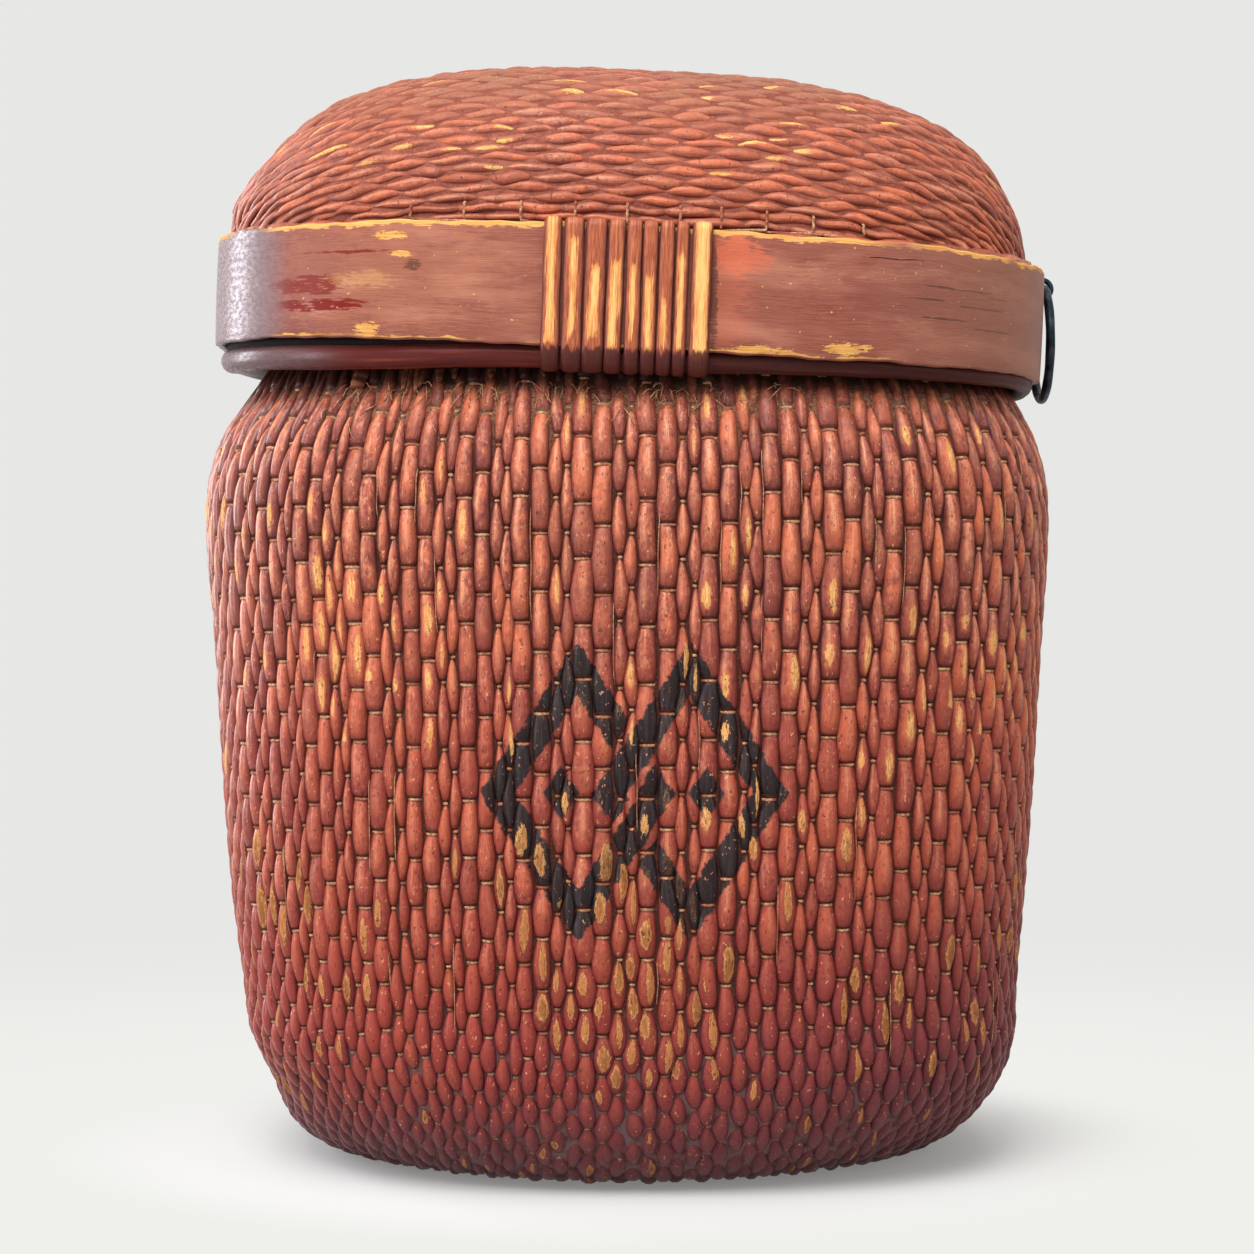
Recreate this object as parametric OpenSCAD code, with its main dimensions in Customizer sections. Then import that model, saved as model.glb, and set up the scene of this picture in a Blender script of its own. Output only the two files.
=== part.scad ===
// Willow storage basket with a domed lift-off lid.
// Willow rods are woven on hemp cord into a bag-shaped body with a narrow mouth.
// The lid is woven the same way and sits in a bentwood band with a round rod below it.
// Units are millimetres. The body stands on z = 0 and the front faces -Y.

/* [Body] */
// Width of the body at its widest level
belly_width = 410; // [380:1:440]
// Depth of the body at its widest level
belly_depth = 300; // [270:1:330]
// Height of the widest level above the floor
belly_level = 324; // [300:1:350]
// Roundness of the plan: 2 is an ellipse, more is squarer
plan_power = 2.9; // [2.5:0.1:3.4]
// Roundness of the plan at the floor
base_power = 1.8; // [1.8:0.1:2.6]
// Thickness of the woven wall
wall = 8; // [6:0.5:10]
// How strongly the taper below the widest level bends
taper_power = 2; // [1.4:0.1:2.4]
// How far the wall has drawn in where the bottom curve begins
foot_inset = 12.5; // [8:0.5:20]
// Height of the bottom curve
bottom_rise = 82; // [70:1:100]
// How far the bottom curve runs in under the body
bottom_run = 54; // [46:1:64]

/* [Shoulder and mouth] */
// Height over which the shoulder would curve in to its reach
shoulder_rise = 90; // [84:1:100]
// Reach of the shoulder curve
shoulder_reach = 82; // [74:1:90]
// How far the neck stands in from the widest level
neck_inset = 30; // [27:0.5:34]
// Height of bare neck between the shoulder and the hoops
neck_bare = 6.4; // [4:0.2:12]
// Thickness of the two bentwood hoops at the mouth
mouth_hoop_thickness = 4; // [3:0.25:5]
// Height of the two bentwood hoops at the mouth
mouth_hoop_height = 34; // [26:1:40]
// Diameter of the rod that covers the mouth's edge
cap_rod_diameter = 10; // [8:0.5:12]
// Number of split-cane lashings round the mouth
lashing_count = 18; // [12:2:24]
// Width of one lashing
lashing_width = 5; // [4:0.5:7]
// Thickness of one lashing
lashing_thickness = 1.6; // [1:0.1:2]

/* [Lid] */
// Free play all round between the mouth's outer hoop and the lid's inner hoop
lid_play = 7.6; // [6.5:0.1:9]
// Thickness of the lid's inner hoop
inner_hoop_thickness = 3.5; // [3:0.25:4.5]
// Height of the lid's inner hoop
inner_hoop_height = 32; // [24:1:40]
// Thickness of the bentwood band
band_thickness = 4.5; // [3.5:0.25:6]
// Height of the bentwood band
band_height = 53.5; // [45:0.5:65]
// Gap between the band's two ends, hidden by the binding
band_gap = 2; // [1:0.5:4]
// Diameter of the rod under the band
rim_rod_diameter = 12.4; // [10:0.2:14]
// How far the dome steps in from the band's inner face
dome_step = 5; // [2:0.5:8]
// Rise of the dome above the band
dome_rise = 91; // [75:1:105]
// Roundness of the dome's profile: 2 is an ellipse, more is squarer
dome_power = 2.5; // [2:0.1:3]
// Slant at which the lid has settled, lower on the right
lid_slant = 2.2; // [0:0.1:2.4]

/* [Binding] */
// Number of willow splits in the binding
strand_count = 9; // [6:1:12]
// Distance from one split to the next
strand_pitch = 8.2; // [7:0.1:9]
// Thickness of a split
strand_thickness = 2.6; // [2:0.1:2.7]

/* [Ring] */
// Outside diameter of the iron ring
ring_diameter = 60; // [50:1:64]
// Thickness of the ring's bar
ring_bar = 4.8; // [4:0.2:6]
// Thickness of the staple's wire
staple_wire = 2.8; // [2.4:0.2:3.6]
// Radial clearance between the ring's bar and the staple
staple_clearance = 0.6; // [0.4:0.1:1]
// Depth of the staple's centre below the band's top edge
staple_depth = 8; // [7.5:0.5:14]

/* [Cords] */
// Distance between neighbouring cords on the body
body_cord_pitch = 13.6; // [12:0.2:18]
// Distance between neighbouring cords on the lid
lid_cord_pitch = 12; // [10:0.5:16]
// Thickness of a hemp cord
cord_thickness = 1.5; // [1:0.1:2]

/* [Hidden] */

seat_gap = 0.3;      // between pieces that rest against each other
around = 48;         // points round the plan
rod_sides = 10;      // sides of a swept rod
round_fn = 32;       // segments of small rounds

// Half widths and half depths. Every ring of the object has half width x and half depth x - depth_less.
belly_x = belly_width / 2;
depth_less = (belly_width - belly_depth) / 2;
neck_x = belly_x - neck_inset;
outer_hoop_x = neck_x + seat_gap + mouth_hoop_thickness;
cap_rod_x = neck_x - wall / 2;
lid_hoop_in_x = outer_hoop_x + lid_play;
lid_hoop_out_x = lid_hoop_in_x + inner_hoop_thickness;
lid_wall_in_x = lid_hoop_out_x + seat_gap;
lid_wall_x = lid_wall_in_x + wall;
band_in_x = lid_wall_x + seat_gap;
band_x = band_in_x + band_thickness;
rim_rod_x = (lid_wall_in_x + lid_wall_x) / 2;
dome_x = lid_wall_x - dome_step;

// Heights on the lid, measured from the middle of its rim rod
band_bottom = rim_rod_diameter / 2 + seat_gap;
band_top = band_bottom + band_height;

// Plan outline: a superellipse of half width x and half depth x - depth_less.
// It is rounder towards the floor, where the bottom curve draws the wall in.
function power_at(z) = base_power + (plan_power - base_power) * sin(90 * min(1, z / bottom_rise));
function reach(f, power) = pow(pow(abs(cos(f)), power) + pow(abs(sin(f)), power), -1 / power);
function plan_point(x, f, power = plan_power) =
    [x * reach(f, power) * cos(f), (x - depth_less) * reach(f, power) * sin(f)];
function plan(x, power = plan_power) = [for (i = [0:around - 1]) plan_point(x, 360 * i / around, power)];
function ring(x, z, power = plan_power) = [for (p = plan(x, power)) [p.x, p.y, z]];
function body_ring(x, z) = ring(x, z, power_at(z));
function unit(v) = v / norm(v);
function sign_power(v, p) = sign(v) * pow(abs(v), p);
// Outward direction of the plan outline at angle f
function plan_out(x, f) = let (p = plan_point(x, f))
    unit([sign_power(p.x / x, plan_power - 1) / x,
          sign_power(p.y / (x - depth_less), plan_power - 1) / (x - depth_less)]);

// Side profile of the body: how far the outside stands in from the widest level at height z
function quarter(t) = 1 - sqrt(max(0, 1 - t * t));
function shoulder_inset(z) = shoulder_reach * quarter(min(1, (z - belly_level) / shoulder_rise));
function taper_inset(z) = foot_inset * pow((belly_level - z) / (belly_level - bottom_rise), taper_power);
function bottom_inset(z) = foot_inset + bottom_run * quarter((bottom_rise - z) / bottom_rise);
function body_inset(z) =
    z > belly_level ? min(neck_inset, shoulder_inset(z)) :
    z > bottom_rise ? taper_inset(z) : bottom_inset(z);

// Heights on the body, from the level where the shoulder turns upright
neck_level = belly_level
    + shoulder_rise * sqrt(1 - pow(1 - neck_inset / shoulder_reach, 2));
mouth_hoop_bottom = neck_level + neck_bare;
mouth_level = mouth_hoop_bottom + mouth_hoop_height;
cap_rod_level = mouth_level + seat_gap + cap_rod_diameter / 2;

// Seat of the lid: the rim rod rests on the shoulder at the right-hand side, one seat_gap away
function shoulder_point(e) = [belly_x - shoulder_reach + shoulder_reach * cos(e),
                              belly_level + shoulder_rise * sin(e)];
function shoulder_out(e) = unit([shoulder_rise * cos(e), shoulder_reach * sin(e)]);
function seated(e) = shoulder_point(e) + (rim_rod_diameter / 2 + seat_gap) * shoulder_out(e);
function find_seat(target, low, high, steps) = let (middle = (low + high) / 2)
    steps == 0 ? middle :
    seated(middle).x > target ? find_seat(target, middle, high, steps - 1) :
                                find_seat(target, low, middle, steps - 1);
seat_angle = find_seat(rim_rod_x * cos(lid_slant), 0, 85, 30);
lid_level = seated(seat_angle).y + rim_rod_x * sin(lid_slant);

// Staple and ring, in the lid's own heights
bar_radius = ring_bar / 2;
wire_radius = staple_wire / 2;
ring_radius = (ring_diameter - ring_bar) / 2;
staple_arch = bar_radius + staple_clearance + wire_radius;
ring_x = band_x + seat_gap + bar_radius;
staple_level = band_top - staple_depth;
// Place of the ring's pivot once the lid's slant is applied
pivot_x = ring_x * cos(lid_slant) + staple_level * sin(lid_slant);
pivot_z = lid_level - ring_x * sin(lid_slant) + staple_level * cos(lid_slant);

echo(lid_level=lid_level, neck_level=neck_level, band_x=band_x, pivot=[pivot_x, 0, pivot_z]);

// Triangles between two neighbouring rings of a stack, turning outwards when the second is above
function strip(first, second, count) = [
    for (i = [0:count - 1]) let (j = (i + 1) % count)
        each [[first + i, second + j, first + j], [first + i, second + i, second + j]]
];

// Closed solid from a stack of rings; the first and last rings are its flat ends
module stack_of(rings) {
    count = len(rings[0]);
    last = (len(rings) - 1) * count;
    polyhedron(
        points = [for (r = rings) each r],
        faces = concat(
            [[for (i = [0:count - 1]) i]],
            [for (k = [0:len(rings) - 2]) each strip(k * count, (k + 1) * count, count)],
            [[for (i = [count - 1:-1:0]) last + i]]),
        convexity = 6);
}

// Flat-sided hoop of bent wood between two half widths
module hoop(inside_x, outside_x, bottom, height, power = plan_power) {
    translate([0, 0, bottom])
        linear_extrude(height = height)
            difference() {
                polygon(plan(outside_x, power));
                polygon(plan(inside_x, power));
            }
}

// Round rod that follows the plan outline in a closed loop
module rod_loop(x, z, diameter) {
    points = [
        for (i = [0:around - 1])
            let (f = 360 * i / around, p = plan_point(x, f), out = plan_out(x, f))
                for (k = [0:rod_sides - 1])
                    let (c = diameter / 2 * cos(360 * k / rod_sides), s = diameter / 2 * sin(360 * k / rod_sides))
                        [p.x + out.x * c, p.y + out.y * c, z + s]
    ];
    faces = [
        for (i = [0:around - 1], k = [0:rod_sides - 1])
            let (n = (i + 1) % around, m = (k + 1) % rod_sides,
                 a = i * rod_sides + k, b = i * rod_sides + m,
                 c = n * rod_sides + m, d = n * rod_sides + k)
                each [[a, b, c], [a, c, d]]
    ];
    polyhedron(points = points, faces = faces, convexity = 8);
}

// Outline of a band wrapped round something: from low corner to high corner, with its own
// corner radius at the bottom and at the top
module wrapped_outline(low, high, bottom_radius, top_radius) {
    size = high - low;
    translate(low + [0, bottom_radius]) square([size.x, size.y - bottom_radius - top_radius]);
    translate(low + [bottom_radius, 0]) square([size.x - 2 * bottom_radius, size.y - top_radius]);
    translate(low + [top_radius, bottom_radius]) square([size.x - 2 * top_radius, size.y - bottom_radius]);
    for (x = [low.x + bottom_radius, high.x - bottom_radius])
        translate([x, low.y + bottom_radius]) circle(r = bottom_radius, $fn = round_fn);
    for (x = [low.x + top_radius, high.x - top_radius])
        translate([x, high.y - top_radius]) circle(r = top_radius, $fn = round_fn);
}

// Closed loop of flat cane or split willow, width wide, round the box from low to high.
module wrapped_loop(low, high, bottom_radius, top_radius, thickness, width) {
    grow = [thickness, thickness];
    linear_extrude(height = width)
        difference() {
            wrapped_outline(low - grow, high + grow, bottom_radius + thickness, top_radius + thickness);
            wrapped_outline(low, high, bottom_radius, top_radius);
        }
}

// Everything on the lid is drawn level and then set down with the lid's slant
module on_lid() {
    translate([0, 0, lid_level]) rotate([0, lid_slant, 0]) children();
}

// Woven body

inner_bottom_rise = bottom_rise - wall;
bottom_steps = 6;
taper_steps = 5;
shoulder_steps = 6;

function inner_inset(z) = wall + (z > bottom_rise ? body_inset(z)
    : foot_inset + (bottom_run - wall / 2) * quarter((bottom_rise - z) / inner_bottom_rise));
// Levels at which the wall is drawn, closer together where it curves
function bottom_levels(floor_z) = [
    for (k = [0:bottom_steps - 1]) bottom_rise - (bottom_rise - floor_z) * cos(90 * k / bottom_steps)
];
wall_levels = concat(
    [for (k = [0:taper_steps - 1]) bottom_rise + (belly_level - bottom_rise) * k / taper_steps],
    [for (k = [0:shoulder_steps]) belly_level + (neck_level - belly_level) * sin(90 * k / shoulder_steps)],
    [mouth_level]);

// Lashings pass through the wall just under the hoops.
// Each child is placed on the outer hoop's outside; $across is the distance to the inner hoop's inside.
lashing_hole_level = mouth_hoop_bottom - seat_gap - lashing_thickness;
mouth_inner_x = neck_x - wall - seat_gap - mouth_hoop_thickness;
module at_lashings() {
    for (i = [0:lashing_count - 1]) {
        f = 360 * (i + 0.5) / lashing_count;
        p = plan_point(outer_hoop_x, f);
        out = plan_out(outer_hoop_x, f);
        $across = (p - plan_point(mouth_inner_x, f)) * out;
        translate([p.x, p.y, 0]) rotate([0, 0, atan2(out.y, out.x)]) children();
    }
}

module body_weave() {
    outer_levels = concat(bottom_levels(0), wall_levels);
    inner_levels = concat(bottom_levels(wall), wall_levels);
    hole = [2 * (wall + 2 * mouth_hoop_thickness), lashing_width + 2 * seat_gap,
            lashing_thickness + 2 * seat_gap];
    color("firebrick")
        difference() {
            stack_of(concat(
                [for (z = outer_levels) body_ring(belly_x - body_inset(z), z)],
                [for (k = [len(inner_levels) - 1:-1:0])
                    body_ring(belly_x - inner_inset(inner_levels[k]), inner_levels[k])]));
            at_lashings()
                translate([($across - hole.x) / 2 - $across, -hole.y / 2, lashing_hole_level - seat_gap])
                    cube(hole);
        }
}

body_cord_bottom = 30;
body_cord_top = belly_level + shoulder_rise / 2;
module body_cords() {
    color("tan")
        for (z = [body_cord_bottom:body_cord_pitch:body_cord_top]) {
            widest = max(belly_x - body_inset(z), belly_x - body_inset(z + cord_thickness)) + seat_gap;
            hoop(widest, widest + cord_thickness, z, cord_thickness, power_at(z + cord_thickness));
        }
}

module mouth_outer_hoop() {
    color("sienna")
        hoop(neck_x + seat_gap, outer_hoop_x, mouth_hoop_bottom, mouth_hoop_height);
}

module mouth_inner_hoop() {
    color("sienna")
        hoop(mouth_inner_x, mouth_inner_x + mouth_hoop_thickness, mouth_hoop_bottom, mouth_hoop_height);
}

module mouth_cap_rod() {
    color("saddlebrown")
        rod_loop(cap_rod_x, cap_rod_level, cap_rod_diameter);
}

// Each lashing is a closed loop round both hoops, the wall's edge and the cap rod
lashing_clear = 0.6;
module mouth_lashings() {
    color("peru")
        at_lashings()
            translate([0, lashing_width / 2, 0]) rotate([90, 0, 0])
                wrapped_loop([-$across - lashing_clear, mouth_hoop_bottom - seat_gap],
                    [lashing_clear, cap_rod_level + cap_rod_diameter / 2 + seat_gap],
                    lashing_thickness, lashing_thickness, lashing_thickness, lashing_width);
}

// Woven lid

dome_steps = 9;
function dome_height(rise, t) = rise * pow(1 - pow(t, dome_power), 1 / dome_power);
// Share of the plan at which each ring of the dome is drawn, from its foot to near its top
dome_shares = [for (k = [0:dome_steps]) pow(cos(84 * k / dome_steps), 0.8)];

function dome_ring(x, rise, t) = [
    for (p = plan(x)) [p.x * t, p.y * t, band_top + dome_height(rise, t)]
];

lean_height = 1.5;   // height over which the inside of the wall leans in under the dome
strand_span = strand_count * strand_pitch;
strand_run_level = band_top + seat_gap;
module lid_weave() {
    inside_rise = dome_rise - wall;
    slot = [strand_span + 2, 4 * wall, strand_thickness + 2 * seat_gap];
    color("firebrick")
        on_lid()
            difference() {
                stack_of(concat(
                    [for (k = [dome_steps:-1:0]) dome_ring(dome_x - wall, inside_rise, dome_shares[k])],
                    [ring(lid_wall_in_x, band_top - lean_height), ring(lid_wall_in_x, band_bottom)],
                    [ring(lid_wall_x, band_bottom), ring(lid_wall_x, band_top)],
                    [for (t = dome_shares) dome_ring(dome_x, dome_rise, t)]));
                translate([-slot.x / 2, -(band_x - depth_less) - wall, strand_run_level - seat_gap]) cube(slot);
                staple_leg_holes();
            }
}

// Section of the dome at distance x from its middle, grown outwards by grow
function dome_section(x, grow) =
    let (half_x = dome_x + grow, half_y = half_x - depth_less, rise = dome_rise + grow,
         foot_y = half_y * pow(1 - pow(abs(x) / half_x, plan_power), 1 / plan_power))
    [for (a = [-90:7.5:90])
        let (y = foot_y * sin(a),
             t = min(1, pow(pow(abs(x) / half_x, plan_power) + pow(abs(y) / half_y, plan_power), 1 / plan_power)))
            [y, band_top + dome_height(rise, t)]];

module lid_cords() {
    count = floor(0.86 * dome_x / lid_cord_pitch);
    floor_z = strand_run_level + strand_thickness + 2 * seat_gap;
    color("tan")
        on_lid()
            for (k = [-count:count]) {
                x = k * lid_cord_pitch;
                translate([x, 0, 0]) rotate([90, 0, 90])
                    linear_extrude(height = cord_thickness)
                        intersection() {
                            difference() {
                                polygon(dome_section(abs(x), 2 * seat_gap + cord_thickness));
                                polygon(concat([[-belly_depth, 0]], dome_section(abs(x), 2 * seat_gap),
                                    [[belly_depth, 0]]));
                            }
                            translate([-belly_depth, floor_z]) square([2 * belly_depth, 2 * dome_rise]);
                        }
            }
}

// Holes for the staple's two legs through the band and the wall
leg_clearance = 0.1;
module staple_leg_holes() {
    for (side = [-1, 1])
        translate([lid_wall_in_x - wall, 0, staple_level + side * staple_arch])
            rotate([0, 90, 0])
                cylinder(r = wire_radius + leg_clearance, h = 3 * wall, $fn = round_fn);
}

module lid_band() {
    color("brown")
        on_lid()
            difference() {
                hoop(band_in_x, band_x, band_bottom, band_height);
                translate([-band_gap / 2, -band_x, band_bottom - 1]) cube([band_gap, band_x, band_height + 2]);
                staple_leg_holes();
            }
}

module lid_inner_hoop() {
    color("sienna")
        on_lid()
            hoop(lid_hoop_in_x, lid_hoop_out_x, band_bottom, inner_hoop_height);
}

module lid_rim_rod() {
    color("saddlebrown")
        on_lid()
            rod_loop(rim_rod_x, 0, rim_rod_diameter);
}

// One split of the binding: a closed loop round the band, the wall, the inner hoop and the rim rod,
// with a rounded face outside
strand_gap = 0.3;
strand_clear = 0.8;
module strand() {
    width = strand_pitch - strand_gap;
    face_radius = 0.66 * width;
    front = -(band_x - depth_less) - seat_gap;
    low = [front, -rim_rod_diameter / 2 - seat_gap];
    high = [-(lid_hoop_in_x - depth_less) + strand_clear, strand_run_level];
    turn_radius = (high.x - low.x) / 2 - seat_gap;
    reach_down = low.y - 2 * strand_thickness;
    reach_up = high.y - low.y + 4 * strand_thickness;
    intersection() {
        translate([-width / 2, 0, 0]) rotate([90, 0, 90])
            wrapped_loop(low, high, turn_radius, seat_gap, strand_thickness, width);
        union() {
            translate([0, front - strand_thickness + face_radius, reach_down])
                cylinder(r = face_radius, h = reach_up, $fn = 2 * round_fn);
            translate([-width, front - strand_thickness / 3, reach_down])
                cube([2 * width, belly_depth, reach_up]);
        }
    }
}

module lid_binding() {
    color("goldenrod")
        on_lid()
            for (k = [0:strand_count - 1])
                translate([(k - (strand_count - 1) / 2) * strand_pitch, 0, 0]) strand();
}

// Iron staple: an arch over the ring's bar, and two legs that are bent apart inside the lid
clinch_length = 9;
clinch_radius = 2;
module ring_staple() {
    clinch_x = lid_wall_in_x - seat_gap - wire_radius;
    bend_x = clinch_x + clinch_radius;
    color("dimgray")
        on_lid()
            translate([0, 0, staple_level]) {
                translate([ring_x, 0, 0]) rotate([90, 0, 0]) rotate([0, 0, -90])
                    rotate_extrude(angle = 180, $fn = 2 * round_fn)
                        translate([staple_arch, 0]) circle(r = wire_radius, $fn = round_fn);
                for (side = [-1, 1])
                    translate([0, 0, side * staple_arch]) mirror([0, side < 0 ? 1 : 0, 0]) {
                        translate([bend_x, 0, 0]) rotate([0, 90, 0])
                            cylinder(r = wire_radius, h = ring_x - bend_x, $fn = round_fn);
                        translate([bend_x, clinch_radius, 0]) rotate([0, 0, 180])
                            rotate_extrude(angle = 90, $fn = round_fn)
                                translate([clinch_radius, 0]) circle(r = wire_radius, $fn = round_fn);
                        translate([clinch_x, clinch_radius, 0]) rotate([-90, 0, 0])
                            cylinder(r = wire_radius, h = clinch_length, $fn = round_fn);
                    }
            }
}

module side_ring() {
    color("dimgray")
        translate([pivot_x, 0, pivot_z - ring_radius])
            rotate([0, 90, 0])
                rotate_extrude($fn = 96)
                    translate([ring_radius, 0]) circle(r = bar_radius, $fn = round_fn);
}

body_weave();
body_cords();
mouth_outer_hoop();
mouth_inner_hoop();
mouth_cap_rod();
mouth_lashings();
lid_weave();
lid_cords();
lid_band();
lid_inner_hoop();
lid_rim_rod();
lid_binding();
ring_staple();
side_ring();
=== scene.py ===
import math
import random
from types import SimpleNamespace

import bpy
import numpy as np
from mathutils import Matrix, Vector


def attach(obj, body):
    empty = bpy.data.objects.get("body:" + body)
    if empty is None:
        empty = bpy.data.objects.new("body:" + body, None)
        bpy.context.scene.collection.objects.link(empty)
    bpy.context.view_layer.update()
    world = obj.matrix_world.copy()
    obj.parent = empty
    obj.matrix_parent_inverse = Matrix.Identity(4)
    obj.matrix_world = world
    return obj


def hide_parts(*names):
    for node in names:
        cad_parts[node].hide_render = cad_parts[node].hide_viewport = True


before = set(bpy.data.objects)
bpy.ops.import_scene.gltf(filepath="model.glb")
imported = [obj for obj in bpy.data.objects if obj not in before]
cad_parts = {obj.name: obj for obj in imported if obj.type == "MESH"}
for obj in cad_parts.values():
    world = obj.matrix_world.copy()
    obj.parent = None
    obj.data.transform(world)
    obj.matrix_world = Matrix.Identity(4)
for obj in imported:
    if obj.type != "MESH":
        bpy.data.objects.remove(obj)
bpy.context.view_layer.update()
print("frame loaded")


def addObject(name, data):
    made = bpy.data.objects.new(name, data)
    bpy.context.scene.collection.objects.link(made)
    return made


def lookAt(thing, place, target):
    thing.location = place
    thing.rotation_euler = (Vector(target) - Vector(place)).to_track_quat("-Z", "Y").to_euler()


# Camera, placed by fitting the outline of the real basket
cameraLook = {"place": (0.0, -1.350, 0.3135), "target": (0.0, 0.0, 0.2624), "lens": 76.77, "shift": -0.0011}
cameraData = bpy.data.cameras.new("camera")
cameraData.lens = cameraLook["lens"]
cameraData.sensor_width = 36.0
cameraData.shift_x = cameraLook["shift"]
camera = addObject("camera", cameraData)
lookAt(camera, cameraLook["place"], cameraLook["target"])
bpy.context.scene.camera = camera
print("camera set")


# Operator of a Wire that adds a Math node, with the Wire as the first input or, when turned, as the second
def joined(operation, turned=False):
    return lambda wire, other: wire.swapped(operation, other) if turned else wire.maths(operation, other)


# Socket that can be reckoned with like a number
class Wire:
    def __init__(self, tree, socket):
        self.tree = tree
        self.socket = socket

    def maths(self, operation, *others):
        return self.tree.node("ShaderNodeMath", {"operation": operation}, [self, *others])

    def swapped(self, operation, other):
        return self.tree.node("ShaderNodeMath", {"operation": operation}, [other, self])

    def __abs__(self):
        return self.maths("ABSOLUTE")

    __add__ = __radd__ = joined("ADD")
    __mul__ = __rmul__ = joined("MULTIPLY")
    __sub__, __rsub__ = joined("SUBTRACT"), joined("SUBTRACT", True)
    __truediv__, __pow__ = joined("DIVIDE"), joined("POWER")


class Tree:
    def __init__(self, tree):
        self.tree = tree
        tree.nodes.clear()

    def node(self, kind, settings=None, inputs=None, output=0):
        made = self.tree.nodes.new(kind)
        for key, value in (settings or {}).items():
            setattr(made, key, value)
        pairs = inputs.items() if isinstance(inputs, dict) else enumerate(inputs or [])
        for key, value in pairs:
            if isinstance(value, Wire):
                self.tree.links.new(value.socket, made.inputs[key])
            elif value is not None:
                made.inputs[key].default_value = value
        return Wire(self, made.outputs[output]) if len(made.outputs) else made

    def vector(self, x=0.0, y=0.0, z=0.0):
        return self.node("ShaderNodeCombineXYZ", None, [x, y, z])

    def parts(self, wire):
        made = self.tree.nodes.new("ShaderNodeSeparateXYZ")
        self.tree.links.new(wire.socket, made.inputs[0])
        return [Wire(self, out) for out in made.outputs]

    def mix(self, factor, first, second):
        return self.node("ShaderNodeMix", {"data_type": "RGBA"}, {0: factor, 6: first, 7: second}, 2)

    def smooth(self, value, low, high):
        inputs = {"Value": value, "From Min": low, "From Max": high}
        return self.node("ShaderNodeMapRange", {"interpolation_type": "SMOOTHSTEP"}, inputs, "Result")

    def noise(self, vector, scale, detail=2.0, rough=0.5):
        inputs = {"Vector": vector, "Scale": scale, "Detail": detail, "Roughness": rough}
        return self.node("ShaderNodeTexNoise", None, inputs, 0)

    def chance(self, vector, output="Value"):
        return self.node("ShaderNodeTexWhiteNoise", {"noise_dimensions": "3D"}, {"Vector": vector}, output)

    def attribute(self, name, output="Fac"):
        return self.node("ShaderNodeAttribute", {"attribute_name": name}, None, output)

    def either(self, first, second):
        return self.node("ShaderNodeMath", {"operation": "MAXIMUM"}, [first, second])

    def hump(self, value, centre, reach):
        return (((value - centre) / reach) ** 2 * -1.0).maths("EXPONENT")


# Colour that is painted over again and again, in tones of its look or other ones
class Paint:
    def __init__(self, t, look, amount, first, second):
        self.t, self.look = t, look
        self.colour = t.mix(amount, self.tone(first), self.tone(second))

    def tone(self, tone):
        return self.look[tone] if isinstance(tone, str) else tone

    def over(self, amount, tone):
        self.colour = self.t.mix(amount, self.colour, self.tone(tone))


def srgb(red, green, blue):
    channels = [c / 255.0 for c in (red, green, blue)]
    linear = [c / 12.92 if c <= 0.04045 else ((c + 0.055) / 1.055) ** 2.4 for c in channels]
    return (*linear, 1.0)


def startMaterial(name):
    material = bpy.data.materials.new(name)
    material.use_nodes = True
    return material, Tree(material.node_tree)


def endMaterial(t, colour, roughness, height=None, bump=None, coat=None, metallic=None, fixed=None):
    inputs = {"Base Color": colour, "Roughness": roughness, "Specular IOR Level": 0.16}
    if height is not None:
        strength, distance = bump
        inputs["Normal"] = t.node(
            "ShaderNodeBump", None, {"Strength": strength, "Distance": distance, "Height": height}, "Normal")
    if coat is not None:
        inputs["Coat Weight"] = coat
    if metallic is not None:
        inputs["Metallic"] = metallic
    inputs.update(fixed or {})
    surface = t.node("ShaderNodeBsdfPrincipled", None, inputs, "BSDF")
    t.node("ShaderNodeOutputMaterial", None, {"Surface": surface})


# Shape of the body and of the lid, the same as in the solid model, in metres
bodyForm = {
    "bellyX": 0.205, "depthLess": 0.055, "bellyLevel": 0.324, "planPower": 2.9, "basePower": 1.8,
    "footInset": 0.0125, "bottomRise": 0.082, "bottomRun": 0.054, "taperPower": 2.0,
    "shoulderRise": 0.090, "shoulderReach": 0.082, "neckInset": 0.030, "mouthLevel": 0.43399,
    "neckLevel": 0.39359, "underRun": 0.014,
}
lidForm = {
    "level": 0.388268, "slant": math.radians(2.2), "domeX": 0.1937, "domeRise": 0.091, "domePower": 2.5,
    "bandTop": 0.060, "axisDrop": 0.060,
}


def smoothStep(value, low, high):
    t = np.clip((value - low) / (high - low), 0.0, 1.0)
    return t * t * (3.0 - 2.0 * t)


# Value read from a table of pairs
def fromTable(value, pairs):
    return np.interp(value, *zip(*pairs))


# Length of a line up to each of its points, from its coordinates
def lengthAlong(*coordinates):
    steps = np.linalg.norm([np.diff(c) for c in coordinates], axis=0)
    return np.concatenate([[0.0], np.cumsum(steps)])


def planPower(z):
    rise = bodyForm["planPower"] - bodyForm["basePower"]
    share = np.clip(z / bodyForm["bottomRise"], 0.0, 1.0)
    return bodyForm["basePower"] + rise * np.sin(0.5 * math.pi * share)


# Plan outline of half width x at angle f, with its outward direction
def planAt(x, f, power=bodyForm["planPower"]):
    y = x - bodyForm["depthLess"]
    c, s = np.cos(f), np.sin(f)
    reach = (np.abs(c) ** power + np.abs(s) ** power) ** (-1.0 / power)
    px, py = x * reach * c, y * reach * s
    nx = np.sign(c) * np.abs(px / x) ** (power - 1.0) / x
    ny = np.sign(s) * np.abs(py / y) ** (power - 1.0) / y
    size = np.hypot(nx, ny)
    return px, py, nx / size, ny / size, reach


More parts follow.
